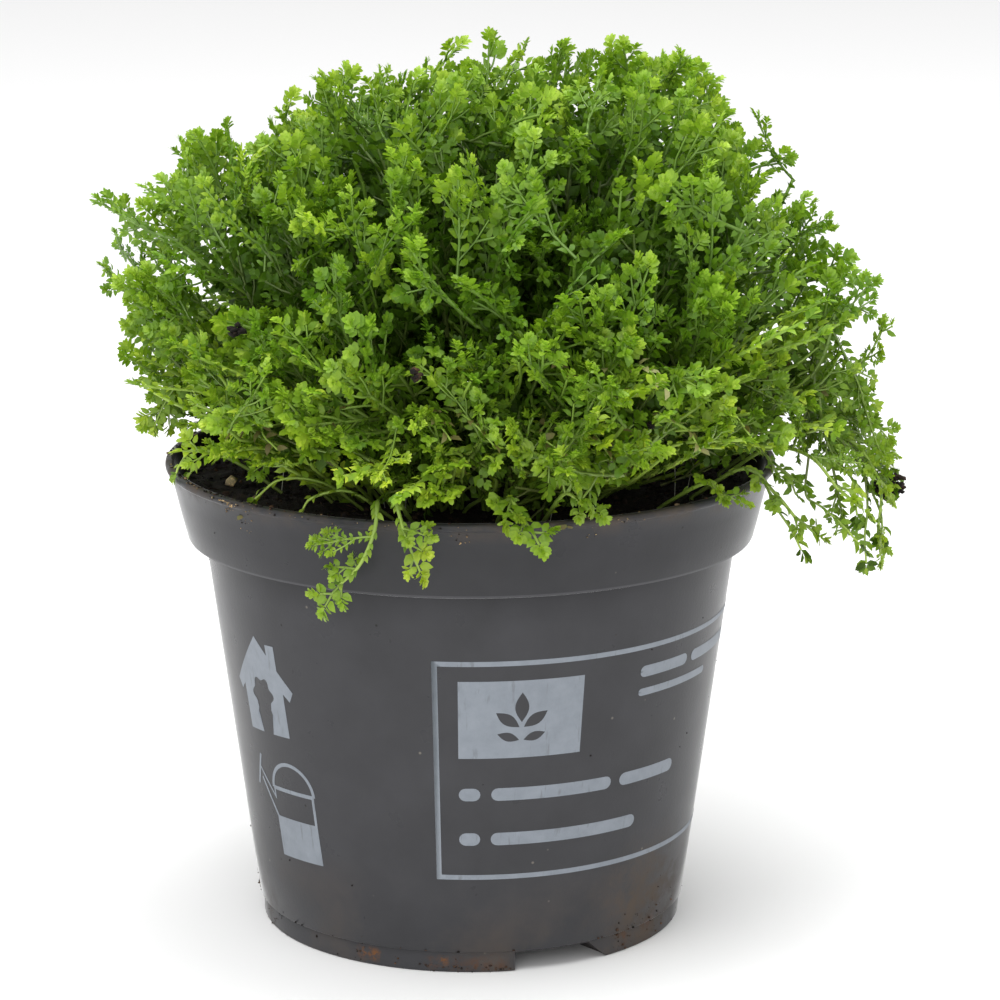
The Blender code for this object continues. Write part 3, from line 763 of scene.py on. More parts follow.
def put_trunks(heap, own, cell):
    """The stems that carry a tuft. Returns their points."""
    trunks = []
    for k in range(TRUNKS):
        a = 2 * math.pi * (k + own.uniform(0, .6)) / TRUNKS
        ca, sa = math.cos(a), math.sin(a)
        foot = cell.at(0, 0, 0) + np.array([1.1 * ca, 1.1 * sa, 0])
        foot[2] = 80.0
        pts = [foot, foot + (0, 0, 8.5)]
        for t in (.12, .25, .4, .55, .7):
            o = .55 * (t / .7) ** 1.2
            pts.append(cell.at(ca * o, sa * o, t) + np.array([own.uniform(-.8, .8) for _ in range(3)]))
        put_stem(heap, pts, .55, .34, (.15, .2, .35, .5, .6, .7, .8), 4)
        trunks.append(np.array(pts))
    return trunks


def place_sprigs(own, cell, jobs, far):
    """Tip, base, length and kind of the sprigs; the outline is left thinner."""
    places = []
    for a, b, t1, ln, kind in jobs:
        t1 -= hollow(cell.at(a, b, t1))
        tip = cell.at(a, b, t1)
        out = tip[0] - 4
        edge = max((max(out * 1.20, -out * 1.13) - 42) / 26, (tip[2] - 157) / 23)
        edge = min(max(edge, 0), 1)
        if own.random() < .5 * edge * (1.7 if kind == "plain" else 1):
            continue
        if tip[0] > 54 and tip[2] < 93 and own.random() < .8:
            continue
        if tip[2] < 112 and tip[1] < 10 and own.random() < .22:
            continue
        low = (.85 if tip[0] < -20 and tip[1] < 0 else .5) * np.interp(tip[2], (100, 116), (1, 0))
        if kind == "rich" and own.random() < max(.85 * edge, low):
            kind = "leggy"
        k = own.uniform(.25, .6)
        base = shaped(cell.at(a * k, b * k, max(t1 - ln / cell.half(min(t1, .95))[2], .2)))
        places.append((shaped(tip), base, ln, kind))
    for tip in far:
        inner = cell.at(0, 0, .72)
        for k in range(2 if tip[2] > 98 and tip[0] < 70 else 1):
            ln = own.uniform(17, 23)
            off = jitter(own, 1.5) * k
            off[0] = -abs(off[0]) * math.copysign(1, tip[0])
            end = tip + off
            places.append((end, end - unit(end - inner) * ln, ln, "far"))
    return places


def lay_sprig(heap, own, tip, base, ln, kind):
    """Puts a sprig in place. Returns its base, direction and face."""
    x, _, z = tip
    rise = .45 * np.interp(z, (100, 125), (.2, 1)) * (.35 if kind == "far" else 1)
    base = tip - unit(unit(tip - base) + UP * rise) * ln
    loose = np.interp(z, (140, 160), (.20, .36))
    base = tip - unit(unit(tip - base) + jitter(own, loose)) * ln
    along = unit(tip - base)
    face = face_for(along, own, .8)
    # Plain sprigs lie deep in the tufts; their low tones are older growth and painted shade.
    if kind == "plain":
        lo, hi, inner, shapes = .20, .54, .40, SPRIGS["plain"]
    else:
        # Tips are duller low at the right and fresher low in front; at the top they are lighter, painted
        # light from above.
        lo, hi, inner = .24 + .08 * np.interp(z, (102, 120), (1, 0)), own.uniform(.78, 1.10), .42
        hi -= .26 * np.interp(x, (28, 48), (0, 1)) * np.interp(z, (106, 118), (1, 0))
        hi += .15 * np.interp(z, (146, 160), (0, 1))
        hi += .04 * np.interp(z, (112, 124), (1, 0)) * np.interp(x, (-48, -30, 25, 40), (0, 1, 1, 0))
        shapes = SPRIGS["rich" if kind == "rich" else "leggy"]
    put_sprig(heap, own.choice(shapes), base, tip, face, own.uniform(-.45, .30), (lo, hi), own,
              own.uniform(-.7, .7), own.uniform(.85, 1.1), inner)
    return base, along, face


def put_barer_stem(heap, own, base, along, face, trunks):
    """The barer part of a sprig's stem, down to the nearest trunk."""
    best = min(((np.linalg.norm(q - base), i, n) for n, trunk in enumerate(trunks)
                for i, q in enumerate(trunk[2:-1]) if q[2] < base[2] - 3), default=None)
    if best is None:
        return
    far, i, n = best
    foot = trunks[n][i + 2]
    mid = (foot + base) / 2 + np.array([0, 0, -.10 * far])
    pts = [foot, (foot + mid) / 2 + (0, 0, -.2), mid, (mid + base) / 2 - along * .5, base + along * .6]
    put_stem(heap, pts, .40, .40, (.5, .6, .75, .8, .85))
    count = int(far / 2.8)
    for q in range(count):
        p, d = point_on(pts, (q + .5) / count * 3.999)
        s = unit(np.cross(d, face))
        for sign in (1, -1):
            go = unit(d * .55 + sign * s + UP * own.uniform(-.2, .3))
            length = own.uniform(2.0, 2.8)
            dry = own.random() < .14 and p[2] < 114
            put_leaf(heap, LEAF4, p, go, unit(across(face, go)), length, .32,
                     .26 + .30 * own.random(), 1.0 if dry else own.uniform(0, .9))


def put_dark_leaves(heap, own, cell):
    """Old leaves in the middle of a tuft, dark in tone as old growth and as painted shade."""
    for _ in range(DARK_LEAVES):
        p = cell.at(own.uniform(-.9, .9), own.uniform(-.9, .9), own.uniform(.22, .68))
        go = unit(jitter(own, 1))
        m = unit(np.cross(go, jitter(own, 1)))
        put_leaf(heap, LEAF4, p, go, m, own.uniform(2.6, 3.8), .38, own.uniform(.10, .30),
                 own.uniform(0, .9))


def put_thin_stems(heap, own, cell):
    """Thin stems low in the dome with spaced leaves, and a pale thread."""
    for _ in range(THIN_STEMS):
        a, b = own.uniform(-.5, .98), own.uniform(-.95, .95)
        foot = cell.at(a * .6, b * .9, 0)
        foot[2] = 84
        tip = shaped(cell.at(a, b, own.uniform(.74, .99)))
        tip += UP * own.uniform(-2, 5)
        mid = [foot + (tip - foot) * f + np.array(
            [own.gauss(0, 2.6), own.gauss(0, 2.6), 5.5 * math.sin(3 * f)]) for f in (.35, .7)]
        leafy_stem(heap, smooth([foot, foot + UP * 5, *mid, tip], 5), (.50, .32), .30, 2.4,
                   (.48, .84), own)
    top = cell.at(own.uniform(-.6, .6), own.uniform(-.9, .9), .3)
    end = top + np.array([own.gauss(0, 2), own.gauss(0, 2), 0])
    end[2] = SOIL_Z
    mid = (top + end) / 2 + jitter(own, .6)
    put_stem(heap, smooth([top, mid, end], 3), .12, .09, .5, 3, THREAD_NO)


def build_tuft(number, cell, fill, heap):
    """One tuft, with what the tables above put nearest to it."""
    rng, own = random.Random(1000 + number), random.Random(5000 + number)

    def mine(where):
        return nearest(where) == number

    jobs = plan_sprigs(rng, own, cell, fill)
    trunks = put_trunks(heap, own, cell)
    for tip, base, ln, kind in place_sprigs(own, cell, jobs, [p for p in OUTLIERS if mine(p)]):
        base, along, face = lay_sprig(heap, own, tip, base, ln, kind)
        put_barer_stem(heap, own, base, along, face, trunks)
    for where, size in CAUGHT:
        if mine(where):
            put_caught(heap, where, size, own)
    put_dark_leaves(heap, own, cell)
    for start, end, tone in OLD:
        if mine(start):
            root = cell.at(0, 0, .6)
            way = smooth([root, (root + start) / 2 + UP * 2, start, end], 5)
            leafy_stem(heap, way, (.30, .18), .55, 3.0, (tone - .15, tone), own, dry=True)
    for way in ARCHES:
        if mine(way[-2]):
            leafy_stem(heap, smooth(way, 5), (.36, .24), .12, 3.8, (.36, .74), own, .85)
    if cell.u >= LOW_RING:
        put_thin_stems(heap, own, cell)


cells = []
for ring, (u0, u1, count, fill) in enumerate(RINGS):
    rng = random.Random(100 + ring)
    share = [rng.uniform(.88, 1.12) for _ in range(count)]
    th = rng.uniform(0, 2 * math.pi)
    for part in share:
        width = 2 * math.pi * part / sum(share)
        cells.append((Cell(u0, u1, th + width / 2, width / 2), fill))
        th += width
CENTRES = [cell.at(0, 0, .95) for cell, _ in cells]


def nearest(where):
    """The number of the tuft that is nearest to a place."""
    return 1 + min(range(len(cells)), key=lambda k: np.linalg.norm(CENTRES[k] - where))


for number, (cell, fill) in enumerate(cells, 1):
    heap = Heap()
    build_tuft(number, cell, fill, heap)
    ob = mesh_piece(f"leafy_tuft_{number:02d}", heap, PLANT)
    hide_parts(f"tuft_{number:02d}")

# Trails: azimuth and radius of the hole, way as azimuth, radius and height,
# sprays as place, lean to a side and length.
TRAILS = (
    (-20, 49, ((-16, 60, 96.6), (-15.5, 63.8, 92), (-18, 64, 85.5), (-22, 63.6, 81)),
     ((.56, -.95, 13), (.80, -.8, 7), (.97, .1, 8))),
    (-12, 49, ((-12.5, 60, 97), (-10.7, 63.8, 93), (-9.5, 64, 89.5)), ((.70, .85, 7.5), (.97, 0, 8.5))),
    (6, 49, ((7, 60, 97.5), (9.5, 64, 93.8)), ((.62, -.8, 9), (.97, .1, 9))),
    (16, 49, ((17, 60, 98), (19, 63, 96.5)), ((.60, .9, 9), (.97, 0, 7))),
    (47, 49, ((47, 60, 96.2), (48, 63.5, 94.6)), ((.60, -.8, 8), (.97, 0, 7))),
    (60, 49, ((60, 60, 96.6), (62, 65.5, 92), (64.5, 69, 86.5)), ((.55, -.9, 8), (.97, 0, 9))),
    (86, 49, ((85, 60, 97), (82, 74, 98), (80, 80.5, 90), (79.5, 80.5, 80.5)),
     ((.50, .8, 12), (.72, -.9, 9), (.97, -.1, 9))),
    (73, 49, ((71, 60, 98), (67, 70, 98.5), (65, 77, 93)),
     ((.55, -.9, 12), (.70, .9, 11), (.97, 0, 10))),
    (102, 49, ((102, 60, 98), (101, 71, 98.5), (100, 78, 93)), ((.55, .9, 12), (.97, 0, 11))),
)

# Further stems at the right: share of the trail where each leaves it, then
# its way in millimetres.
MORE = {
    6: ((.75, (57, -31, 91), (61, -31, 85), (63, -31, 81)),),
    7: ((.50, (79, -9, 92.5), (81.5, -6, 90), (82.5, -7, 87.5)),
        (.62, (77, -15, 86), (76.5, -16, 80), (77, -15, 74.5)),
        (.55, (79, -14, 86), (80, -14, 82), (80, -13, 79.5)),
        (.40, (74, -14, 91), (74.5, -14, 88), (75, -15, 84))),
    8: ((.72, (64, -27.5, 91), (67, -27, 88.5), (71, -27, 85), (74.5, -27, 81)),),
    9: ((.60, (76, 8, 92), (79, 4, 90), (80, 2, 87)),)}


def make_short(seed):
    """A short end of a trailing stem: some fans close together, along +X."""
    rng = random.Random(seed)
    heap = Heap()
    path = put_twig(heap, np.zeros(3), X, UP, 5.0, rng.uniform(-.3, .3), .32, .22, .9, rng, 2.0,
                    2.1, .33, 1.05, FULL)
    side = rng.choice((1, -1))
    for f in (.25, .6):
        q, dd, mm = path[min(int(f * len(path)), len(path) - 1)]
        mm = turn(mm, dd, rng.gauss(0, .3))
        put_twig(heap, q, turn(dd, mm, side * rng.uniform(.7, .95)), mm, rng.uniform(1.8, 2.8), 0,
                 .24, .20, .9, rng, 2.0, 2.0, .33, rng.uniform(.8, 1.0), FULL)
        side = -side
    return heap.arrays()


SHORT = [make_short(300 + k) for k in range(8)]
LONG_SPRAY, STEM_FOOT, STEM_FREE = 10.5, 82.0, 89.8


def out_at(p, lift):
    """The way out from the pot's axis at a place, with some lift."""
    a = math.atan2(p[0], -p[1])
    return unit(np.array([math.sin(a), -math.cos(a), lift]))


def build_trail(number, az, r, way, sprays, heap):
    """One trailing stem with its sprays, leaves and further stems."""
    own = random.Random(7000 + number)
    x, y = plan(r, az)
    pts = [(x, y, STEM_FREE)] + [(*plan(rr, a), z) for a, rr, z in way]
    path = [np.array([x, y, STEM_FOOT])] + smooth(pts, 6)
    n = len(path) - 1
    put_stem(heap, path, .48, .30, np.linspace(.4, .85, n + 1), 5)
    for where, lean, length in sprays:
        base, along = point_on(path, where * n)
        out = out_at(base, .5)
        side = unit(np.cross(out, along))
        go = unit(along * (1 - .45 * abs(lean)) + side * lean + out * .22)
        base = base - go * .3
        pick = own.choice(SHORT if length < LONG_SPRAY else SPRIGS["rich"])
        put_sprig(heap, pick, base, base + go * length * 1.04, out, .15, (.42, .80), own,
                  own.uniform(-.3, .3), 1.0, 1.0)
    for q in range(int(n * .30), n):
        if own.random() < .35:
            continue
        d = unit(path[q + 1] - path[q])
        out = out_at(path[q], .6)
        s = unit(np.cross(d, out))
        for sign in (1, -1) if own.random() < .5 else (own.choice((1, -1)),):
            go, m = aside(d, sign * s, out, (.9, 1.8), (-.1, .4), own)
            put_leaf(heap, OVATE, path[q], go, m, own.uniform(1.3, 2.2), .27,
                     .38 + .26 * own.random(), own.random() * FRESH)
    for start, *rest in MORE.get(number, ()):
        leafy_stem(heap, smooth([path[int(n * start)], *rest], 5), (.26, .20), .16, 3.0,
                   (.24, .56), own)


for number, trail in enumerate(TRAILS, 1):
    heap = Heap()
    build_trail(number, *trail, heap)
    ob = mesh_piece(f"leafy_trail_{number:02d}", heap, PLANT)
    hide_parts(f"trail_{number:02d}")


# Places on the outside of the pot; what lies on it stands out by a skin.
SKIN = .02


def wall_r(z):
    return WALL_BOTTOM_R + (z - SEAM_Z) * (WALL_TOP_R - WALL_BOTTOM_R) / (COLLAR_Z - SEAM_Z)


def on_wall(az, z, out):
    return (*plan(wall_r(z) + out, az), z)


def on_collar(az, z, out):
    return (*plan(COLLAR_R + (z - COLLAR_Z) * SLANT + out, az), z)


def on_pot(az, z):
    """A point just outside the foot, the wall or the collar."""
    if z < SEAM_Z:
        return (*plan(FOOT_R + SKIN, az), z)
    return (on_collar if z > COLLAR_Z else on_wall)(az, z, SKIN)


# Pot
def near(tree, xyz, x, y, z, r0, r1):
    """1 near a place of the object, 0 beyond r1 (millimetres)."""
    far = node(tree, "VectorMath", {0: xyz, 1: (x * MM, y * MM, z * MM)}, "Value", operation="DISTANCE")
    return remap(tree, far, r0 * MM, r1 * MM, 1, 0)


# Stains on the foot: azimuth, height, radius and colour.
RUST, BROWN = (.150, .062, .020), (.085, .045, .028)
STAINS = ((-29, 2.6, 2.2, RUST), (-26, 2.2, 1.8, RUST), (-10, 1.8, 1.9, BROWN), (-7, 2.4, 1.6, RUST),
          (-3, 1.4, 2.4, BROWN), (2, 1.6, 2.6, BROWN), (7, 1.6, 2.8, BROWN), (46, 3.0, 2.6, BROWN),
          (56, 4.0, 3.0, BROWN))


def pot_material():
    m, t, b = new_material("pot_plastic")
    xyz = place(t)
    z = node(t, "SeparateXYZ", {0: xyz}, 2)
    base = ramp(t, noise(t, 90, 4), ((.30, (.041, .041, .044)), (.70, (.049, .049, .053))))
    # Tone by height: painted shade under the collar, a painted highlight (the floor's reflection) on its
    # lower edge, its face darker.
    base = times(t, base, ramp(t, remap(t, z, .070, .080), (
        (.10, 1), (.72, .84), (.765, .84), (.775, 1.4), (.815, 1.4), (.835, .80))))
    # Fine dust specks and dark pits.
    far = node(t, "TexVoronoi", {"Scale": 330, "Vector": xyz}, "Distance")
    dot = ramp(t, far, ((.05, 1), (.11, 0)))
    which = node(t, "SeparateColor", {0: far.node.outputs["Color"]}).node.outputs
    light = product(t, dot, ramp(t, which[0], ((.86, 0), (.94, .60))))
    dark = product(t, dot, ramp(t, which[1], ((.90, 0), (.93, .8))))
    base = mix(t, light, base, (.21, .19, .16))
    base = mix(t, dark, base, (.012, .011, .010))
    # Brown bloom of dried soil by the foot, in a patch above it and at the lip.
    soil = product(t, remap(t, z, .002, .022, 1, 0),
                   ramp(t, noise(t, 45, 5, .65), ((.46, 0), (.72, .6))))
    patch = product(t, near(t, xyz, *on_wall(52, 8, 0), 6, 19),
                    ramp(t, noise(t, 160, 5, .7), ((.38, 0), (.62, .75))))
    lip = product(t, remap(t, z, .0885, .0925),
                  ramp(t, noise(t, 120, 5, .7), ((.42, 0), (.68, .8))))
    soil = calculate(t, "MAXIMUM", calculate(t, "MAXIMUM", soil, patch), lip)
    base = mix(t, soil, base, (.095, .072, .054))
    # A dark film inside. The distance from the axis, less the collar's slant,
    # tells its inside from its outside.
    flat = node(t, "VectorMath", {0: xyz, 1: (1, 1, 0)}, operation="MULTIPLY")
    away = node(t, "VectorMath", {0: flat}, "Value", operation="LENGTH")
    level = calculate(t, "SUBTRACT", away, product(t, z, SLANT))
    level = calculate(t, "ADD", level, product(t, noise(t, 300, 4, .7), .0010))
    film = product(t, remap(t, level, .0374, .0376, 1, 0), remap(t, z, .080, .084))
    base = mix(t, film, base, (.012, .009, .007))
    soil = calculate(t, "MAXIMUM", soil, film)
    grain = ramp(t, noise(t, 620, 5, .75), ((.44, 0), (.58, 1)))
    for az, high, r, colour in STAINS:
        spot = near(t, xyz, *on_wall(az, high, -.7), .3, r)
        base = mix(t, product(t, spot, grain), base, colour)
    rough = mix(t, soil, mix(t, noise(t, 150, 4), (.24,) * 3, (.34,) * 3), (.85,) * 3)
    put(t, b, {"Base Color": base, "Roughness": rough, "Specular IOR Level": .14,
               "Sheen Weight": .85, "Sheen Roughness": .13})
    bump(t, b, noise(t, 1800, 3), .10, .0002)
    return m


def print_material():
    m, t, b = new_material("print")
    base = ramp(t, noise(t, 260, 5, .7), ((.30, (.165, .186, .214)), (.70, (.208, .232, .265))))
    streaks = node(t, "Mapping", {0: place(t), "Scale": (1, 1, .12)})
    worn = ramp(t, noise(t, 900, 3, .6, streaks), ((.30, .55), (.40, 0)))
    put(t, b, {"Base Color": mix(t, worn, base, (.105, .115, .128)), "Roughness": .5})
    return m


POT, PRINT = pot_material(), print_material()


def turned(profile, sides):
    bm = bmesh.new()
    vs = [bm.verts.new((r * MM, 0, z * MM)) for r, z in profile]
    es = [bm.edges.new(p) for p in zip(vs, vs[1:])]
    bmesh.ops.spin(bm, geom=vs + es, cent=(0, 0, 0), axis=(0, 0, 1), angle=2 * math.pi, steps=sides,
                   use_merge=True)
    bmesh.ops.remove_doubles(bm, verts=bm.verts, dist=1e-6)
    return bm


def prism(points, z0, z1, above=None):
    bm = bmesh.new()
    lo = [bm.verts.new((x * MM, y * MM, z0 * MM)) for x, y in points]
    hi = [bm.verts.new((x * MM, y * MM, z1 * MM)) for x, y in above or points]
    bm.faces.new(list(reversed(lo)))
    bm.faces.new(hi)
    for k in range(len(lo)):
        j = (k + 1) % len(lo)
        bm.faces.new((lo[k], lo[j], hi[j], hi[k]))
    return bm


def as_mesh(name, bm):
    me = bpy.data.meshes.new(name)
    bm.to_mesh(me)
    bm.free()
    return me


def solid(name, bm):
    bmesh.ops.recalc_face_normals(bm, faces=bm.faces)
    return put_in_scene(name, as_mesh(name, bm))


def combine(ob, others, operation):
    box = bpy.data.collections.new("pieces")
    bpy.context.scene.collection.children.link(box)
    for o in others:
        box.objects.link(o)
    mod = ob.modifiers.new("combine", "BOOLEAN")
    mod.operation, mod.operand_type = operation, "COLLECTION"
    mod.collection, mod.solver = box, "MANIFOLD"
    bpy.context.view_layer.update()
    got = ob.evaluated_get(bpy.context.evaluated_depsgraph_get())
    ob.data = bpy.data.meshes.new_from_object(got)
    ob.modifiers.clear()
    for o in others:
        bpy.data.objects.remove(o, do_unlink=True)
    bpy.data.collections.remove(box)


def channel_plan(az, grow, r_out, slant=0):
    """Plan of a drainage channel, from its inner end to a radius."""
    c, s = math.cos(math.radians(az)), math.sin(math.radians(az))

    def at(out, side):
        return out * s + side * c, -out * c + side * s

    half = math.radians(CHANNEL_HALF) + grow / r_out
    turns = [-half + (2 * half - math.radians(slant)) * k / 12 for k in range(13)]
    return [at(14 - grow, -3.5 - grow), *(at(r_out * math.cos(a), r_out * math.sin(a)) for a in turns),
            at(14 - grow, 3.5 + grow)]


outside = [
    (0, 0), (FOOT_R - .5, 0), (FOOT_R - .15, .12), (FOOT_R, .45), (FOOT_R, SEAM_Z - .25),
    (FOOT_R + .12, SEAM_Z - .12), (WALL_BOTTOM_R - .12, SEAM_Z), (WALL_BOTTOM_R, SEAM_Z + .12),
    (43.85, 14.3), (45.2, 24.3), (46.55, 34.3), (47.9, 44.3), (49.25, 54.3), (50.6, 64.3),
    (WALL_TOP_R - .14, 76.6), (WALL_TOP_R, COLLAR_Z - .15), (WALL_TOP_R + .15, COLLAR_Z),
    (COLLAR_R - .5, COLLAR_Z), (COLLAR_R - .18, COLLAR_Z + .10), (COLLAR_R, COLLAR_Z + .45),
    (57.0, 82.5), (58.0, 86.8), (RIM_R - 1.02, 90.8), (RIM_R - .72, 91.2), (RIM_R - .25, 91.35),
    (RIM_R - .04, 91.6), (RIM_R, 91.95), (RIM_R - .05, 92.35), (RIM_R - .22, 92.6), (RIM_R - .5, POT_H)]
inside = [
    (RIM_R - 1.3, POT_H), (RIM_R - 1.65, 92.62), (RIM_R - 1.95, 92.2), (RIM_R - 2.1, 91.6),
    (COLLAR_R - 1.1, COLLAR_Z + 1.2), (WALL_TOP_R - WALL_T, COLLAR_Z + .9),
    (WALL_BOTTOM_R - WALL_T, SEAM_Z + .8), (FOOT_R - 1.3, FLOOR_T), (0, FLOOR_T)]
DRAIN_R, DRAIN_OUT, CUT_R = 3.2, 31.0, 46.0
pot = solid("pot_smooth", turned(outside + inside, 180))
combine(pot, [solid("ridge", prism(channel_plan(az, 1.2, FOOT_R - .35), .5, CHANNEL_H + 1.2))
              for az in CHANNEL_AZ], "UNION")
cuts = [solid("channel", prism(channel_plan(az, 0, CUT_R), -1.0, CHANNEL_H, channel_plan(az, 0, CUT_R, 7.0)))
        for az in CHANNEL_AZ]
for az in CHANNEL_AZ:
    x, y = plan(DRAIN_OUT, az)
    cuts.append(solid("drain", prism([
        (x + DRAIN_R * math.cos(k * math.pi / 12), y + DRAIN_R * math.sin(k * math.pi / 12))
        for k in range(24)], 2, 7)))
combine(pot, cuts, "DIFFERENCE")
pot.data.materials.clear()
pot.data.materials.append(POT)
pot.data.shade_smooth()
pot.data.set_sharp_from_angle(angle=math.radians(40))
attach(pot, "root")
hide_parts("pot")


# Print, drawn flat in millimetres
def stroke(points, width, closed=False):
    """The outline of a line of a given width through points."""
    p = np.asarray(points, float)
    n = len(p)
    left, right = [], []
    for k in range(n):
        a = p[k - 1] if k or closed else p[k]
        b = p[(k + 1) % n] if k < n - 1 or closed else p[k]
        u, v = unit(p[k] - a), unit(b - p[k])
        d = unit(u + v)
        s = np.array([-d[1], d[0]])
        c = max(abs(float(np.dot(d, v if np.any(v) else u))), .5)
        left.append(p[k] + s * width / 2 / c)
        right.append(p[k] - s * width / 2 / c)
    return [left, right] if closed else [left + right[::-1]]


def bar(x, y, length, high):
    """A bar with round ends."""
    r = high / 2
    return [[(x + (length - r if side > 0 else r) + side * r * math.sin(a), y + r + side * r * math.cos(a))
             for side in (1, -1) for a in [math.pi * k / 8 for k in range(9)]]]


def flat_shape(loops):
    """Triangles of a flat shape; loops inside others are holes."""
    cu = bpy.data.curves.new("shape", "CURVE")
    cu.dimensions, cu.fill_mode = "2D", "BOTH"
    for loop in loops:
        sp = cu.splines.new("POLY")
        sp.points.add(len(loop) - 1)
        for q, (x, y) in zip(sp.points, loop):
            q.co = (x, y, 0, 1)
        sp.use_cyclic_u = True
    ob = bpy.data.objects.new("shape", cu)
    me = bpy.data.meshes.new_from_object(ob)
    bm = bmesh.new()
    bm.from_mesh(me)
    bpy.data.objects.remove(ob)
    bpy.data.curves.remove(cu)
    bpy.data.meshes.remove(me)
    bmesh.ops.remove_doubles(bm, verts=bm.verts, dist=1e-4)
    return bm


def wrap_print(name, shapes, az0, z0, tilt=0):
    """Lays flat shapes round the pot's wall."""
    out = bmesh.new()
    for loops in shapes:
        bm = flat_shape(loops)
        xs = [v.co.x for v in bm.verts]
        x = math.floor(min(xs)) + .5
        while x < max(xs):
            bmesh.ops.bisect_plane(bm, geom=bm.verts[:] + bm.edges[:] + bm.faces[:],
                                   plane_co=(x, 0, 0), plane_no=(1, 0, 0))
            x += 1.0
        bmesh.ops.triangulate(bm, faces=bm.faces)
        me = as_mesh("flat", bm)
        out.from_mesh(me)
        bpy.data.meshes.remove(me)
    ct, st = math.cos(tilt), math.sin(tilt)
    for v in out.verts:
        x, y = v.co.x * ct - v.co.y * st, v.co.x * st + v.co.y * ct
        z = z0 + y
        px, py = plan(wall_r(z) + .05, az0 + math.degrees(x / wall_r(z0 + 10)))
        v.co = (px * MM, py * MM, z * MM)
    bmesh.ops.recalc_face_normals(out, faces=out.faces)
    if sum(f.normal.dot(Vector((*f.calc_center_median()[:2], 0))) for f in out.faces) < 0:
        bmesh.ops.reverse_faces(out, faces=out.faces)
    me = as_mesh(name, out)
    me.materials.append(PRINT)
    me.shade_smooth()
    ob = put_in_scene(name, me)
    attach(ob, "root")


def wavy(a):
    """A point of the plant's bushy crown in the house."""
    r = 3.3
    swell = 1 + .13 * math.cos(6 * a)
    return r * math.cos(a) * swell, 7.8 + r * math.sin(a) * swell


crown = [wavy(math.radians(-52 + 284 * k / 40)) for k in range(41)]
house = [(-6.9, 0), (-6.9, 9.0), (-8.6, 7.6), (-9.8, 9.6), (0, 19.6), (3.4, 16.2), (3.4, 18.4),
         (6.0, 18.4), (6.0, 13.5), (9.8, 9.6), (8.6, 7.6), (6.9, 9.0), (6.9, 0), (1.7, 0),
         (2.5, 4.2), *crown, (-2.5, 4.2), (-1.7, 0)]
handle = [(.4 + 6.0 * math.cos(math.pi * k / 20), 14.0 + 5.6 * math.sin(math.pi * k / 20))
          for k in range(21)]
can = [[(-5.6, 0), (6.6, 0), (6.4, 8.2), (-5.6, 8.2)]]
spout = [stroke(points, width) for points, width in (
    (((6.1, 8.0), (6.1, 14.0)), .65), (handle, .75), (((-5.6, 14.0), (6.2, 14.0)), .8),
    (((-5.3, 8.0), (-9.6, 15.2)), .55), (((-5.3, 14.2), (-5.3, 12.0), (-10.2, 17.6)), .55),
    (((-11.6, 13.4), (-9.0, 20.0)), .65))]
wrap_print("print_house", [[house]], -54.0, 43.9, .05)
wrap_print("print_can", [can, *spout], -47.6, 18.8, .03)
half_leaf = [(2.6 * math.sin(math.pi * t) * .42, 5.2 * t) for t in [k / 12 for k in range(13)]]
leaf = half_leaf + [(-x, y) for x, y in half_leaf[-2:0:-1]]


def turned_leaf(x, y, a, s):
    c, d = math.cos(a), math.sin(a)
    return [(x + s * (u * c - v * d), y + s * (u * d + v * c)) for u, v in leaf]


# The label: its frame, a block with a sprig cut out, and bars for lines.
block = [[(0, 0), (22.6, 0), (22.6, 15.6), (0, 15.6)],
         turned_leaf(11.3, 7.2, 0, 1.15), turned_leaf(10.9, 6.2, .95, 1.0),
         turned_leaf(11.7, 6.2, -.95, 1.0), turned_leaf(10.9, 3.6, 1.25, .8),
         turned_leaf(11.7, 3.6, -1.25, .8)]
LONG, HIGH = 82.0, 43.6
BARS = ((38.5, 37.4, 13.0, 2.3), (53.0, 37.4, 19.0, 2.3), (38.5, 33.6, 21.0, 1.5), (4.0, 15.8, 4.0, 2.6),
        (10.0, 15.8, 24.0, 2.6), (36.0, 15.8, 15.0, 2.6), (4.0, 6.6, 4.0, 2.6), (10.0, 6.6, 31.0, 2.6))
wrap_print("print_label", [
    stroke([(0, 0), (LONG, 0), (LONG, HIGH), (0, HIGH)], 1.0, True),
    [[(x + 4.0, y + 24.5) for x, y in loop] for loop in block],
    *(bar(*row) for row in BARS)], -7.4, 20.2)

# Soil
SOIL_SIDES, SOIL_RINGS, SOIL_EDGE = 230, 84, 3
CRUMBS, FIBRES, CRUMB_R, FIBRE_R, FIBRE_LIMIT = 2400, 260, 56.2, 55, 56.5
# Bark chips and, first, the pale pebble: x, y, size and vary.
CHIPS = ((-46.6, -9.2, 1.5, 1.0), (-41, -22, 1.1, .96), (-30, -40, 1.1, .96), (33, -42, 1.0, .96),
         (48, -14, 1.3, .96), (5, -51, .9, .96), (-52, 14, 1.0, .96), (20, 49, 1.4, .96))


def soil_at(x, y):
    """Height of the crumbly surface."""
    z = SOIL_Z + .5 * math.sin(x / 9.0 + 1.0) * math.cos(y / 11.0) + .35 * math.sin((x + y) / 6.0)
    for scale, high in ((.13, .8), (.35, .55), (.9, .35), (2.1, .18)):
        z += high * rough_noise.noise(Vector((x * scale, y * scale, 3.1)))
    edge = min(max((SOIL_R - math.hypot(x, y)) / SOIL_EDGE, 0), 1)
    return z * edge + (SOIL_Z - .2) * (1 - edge)


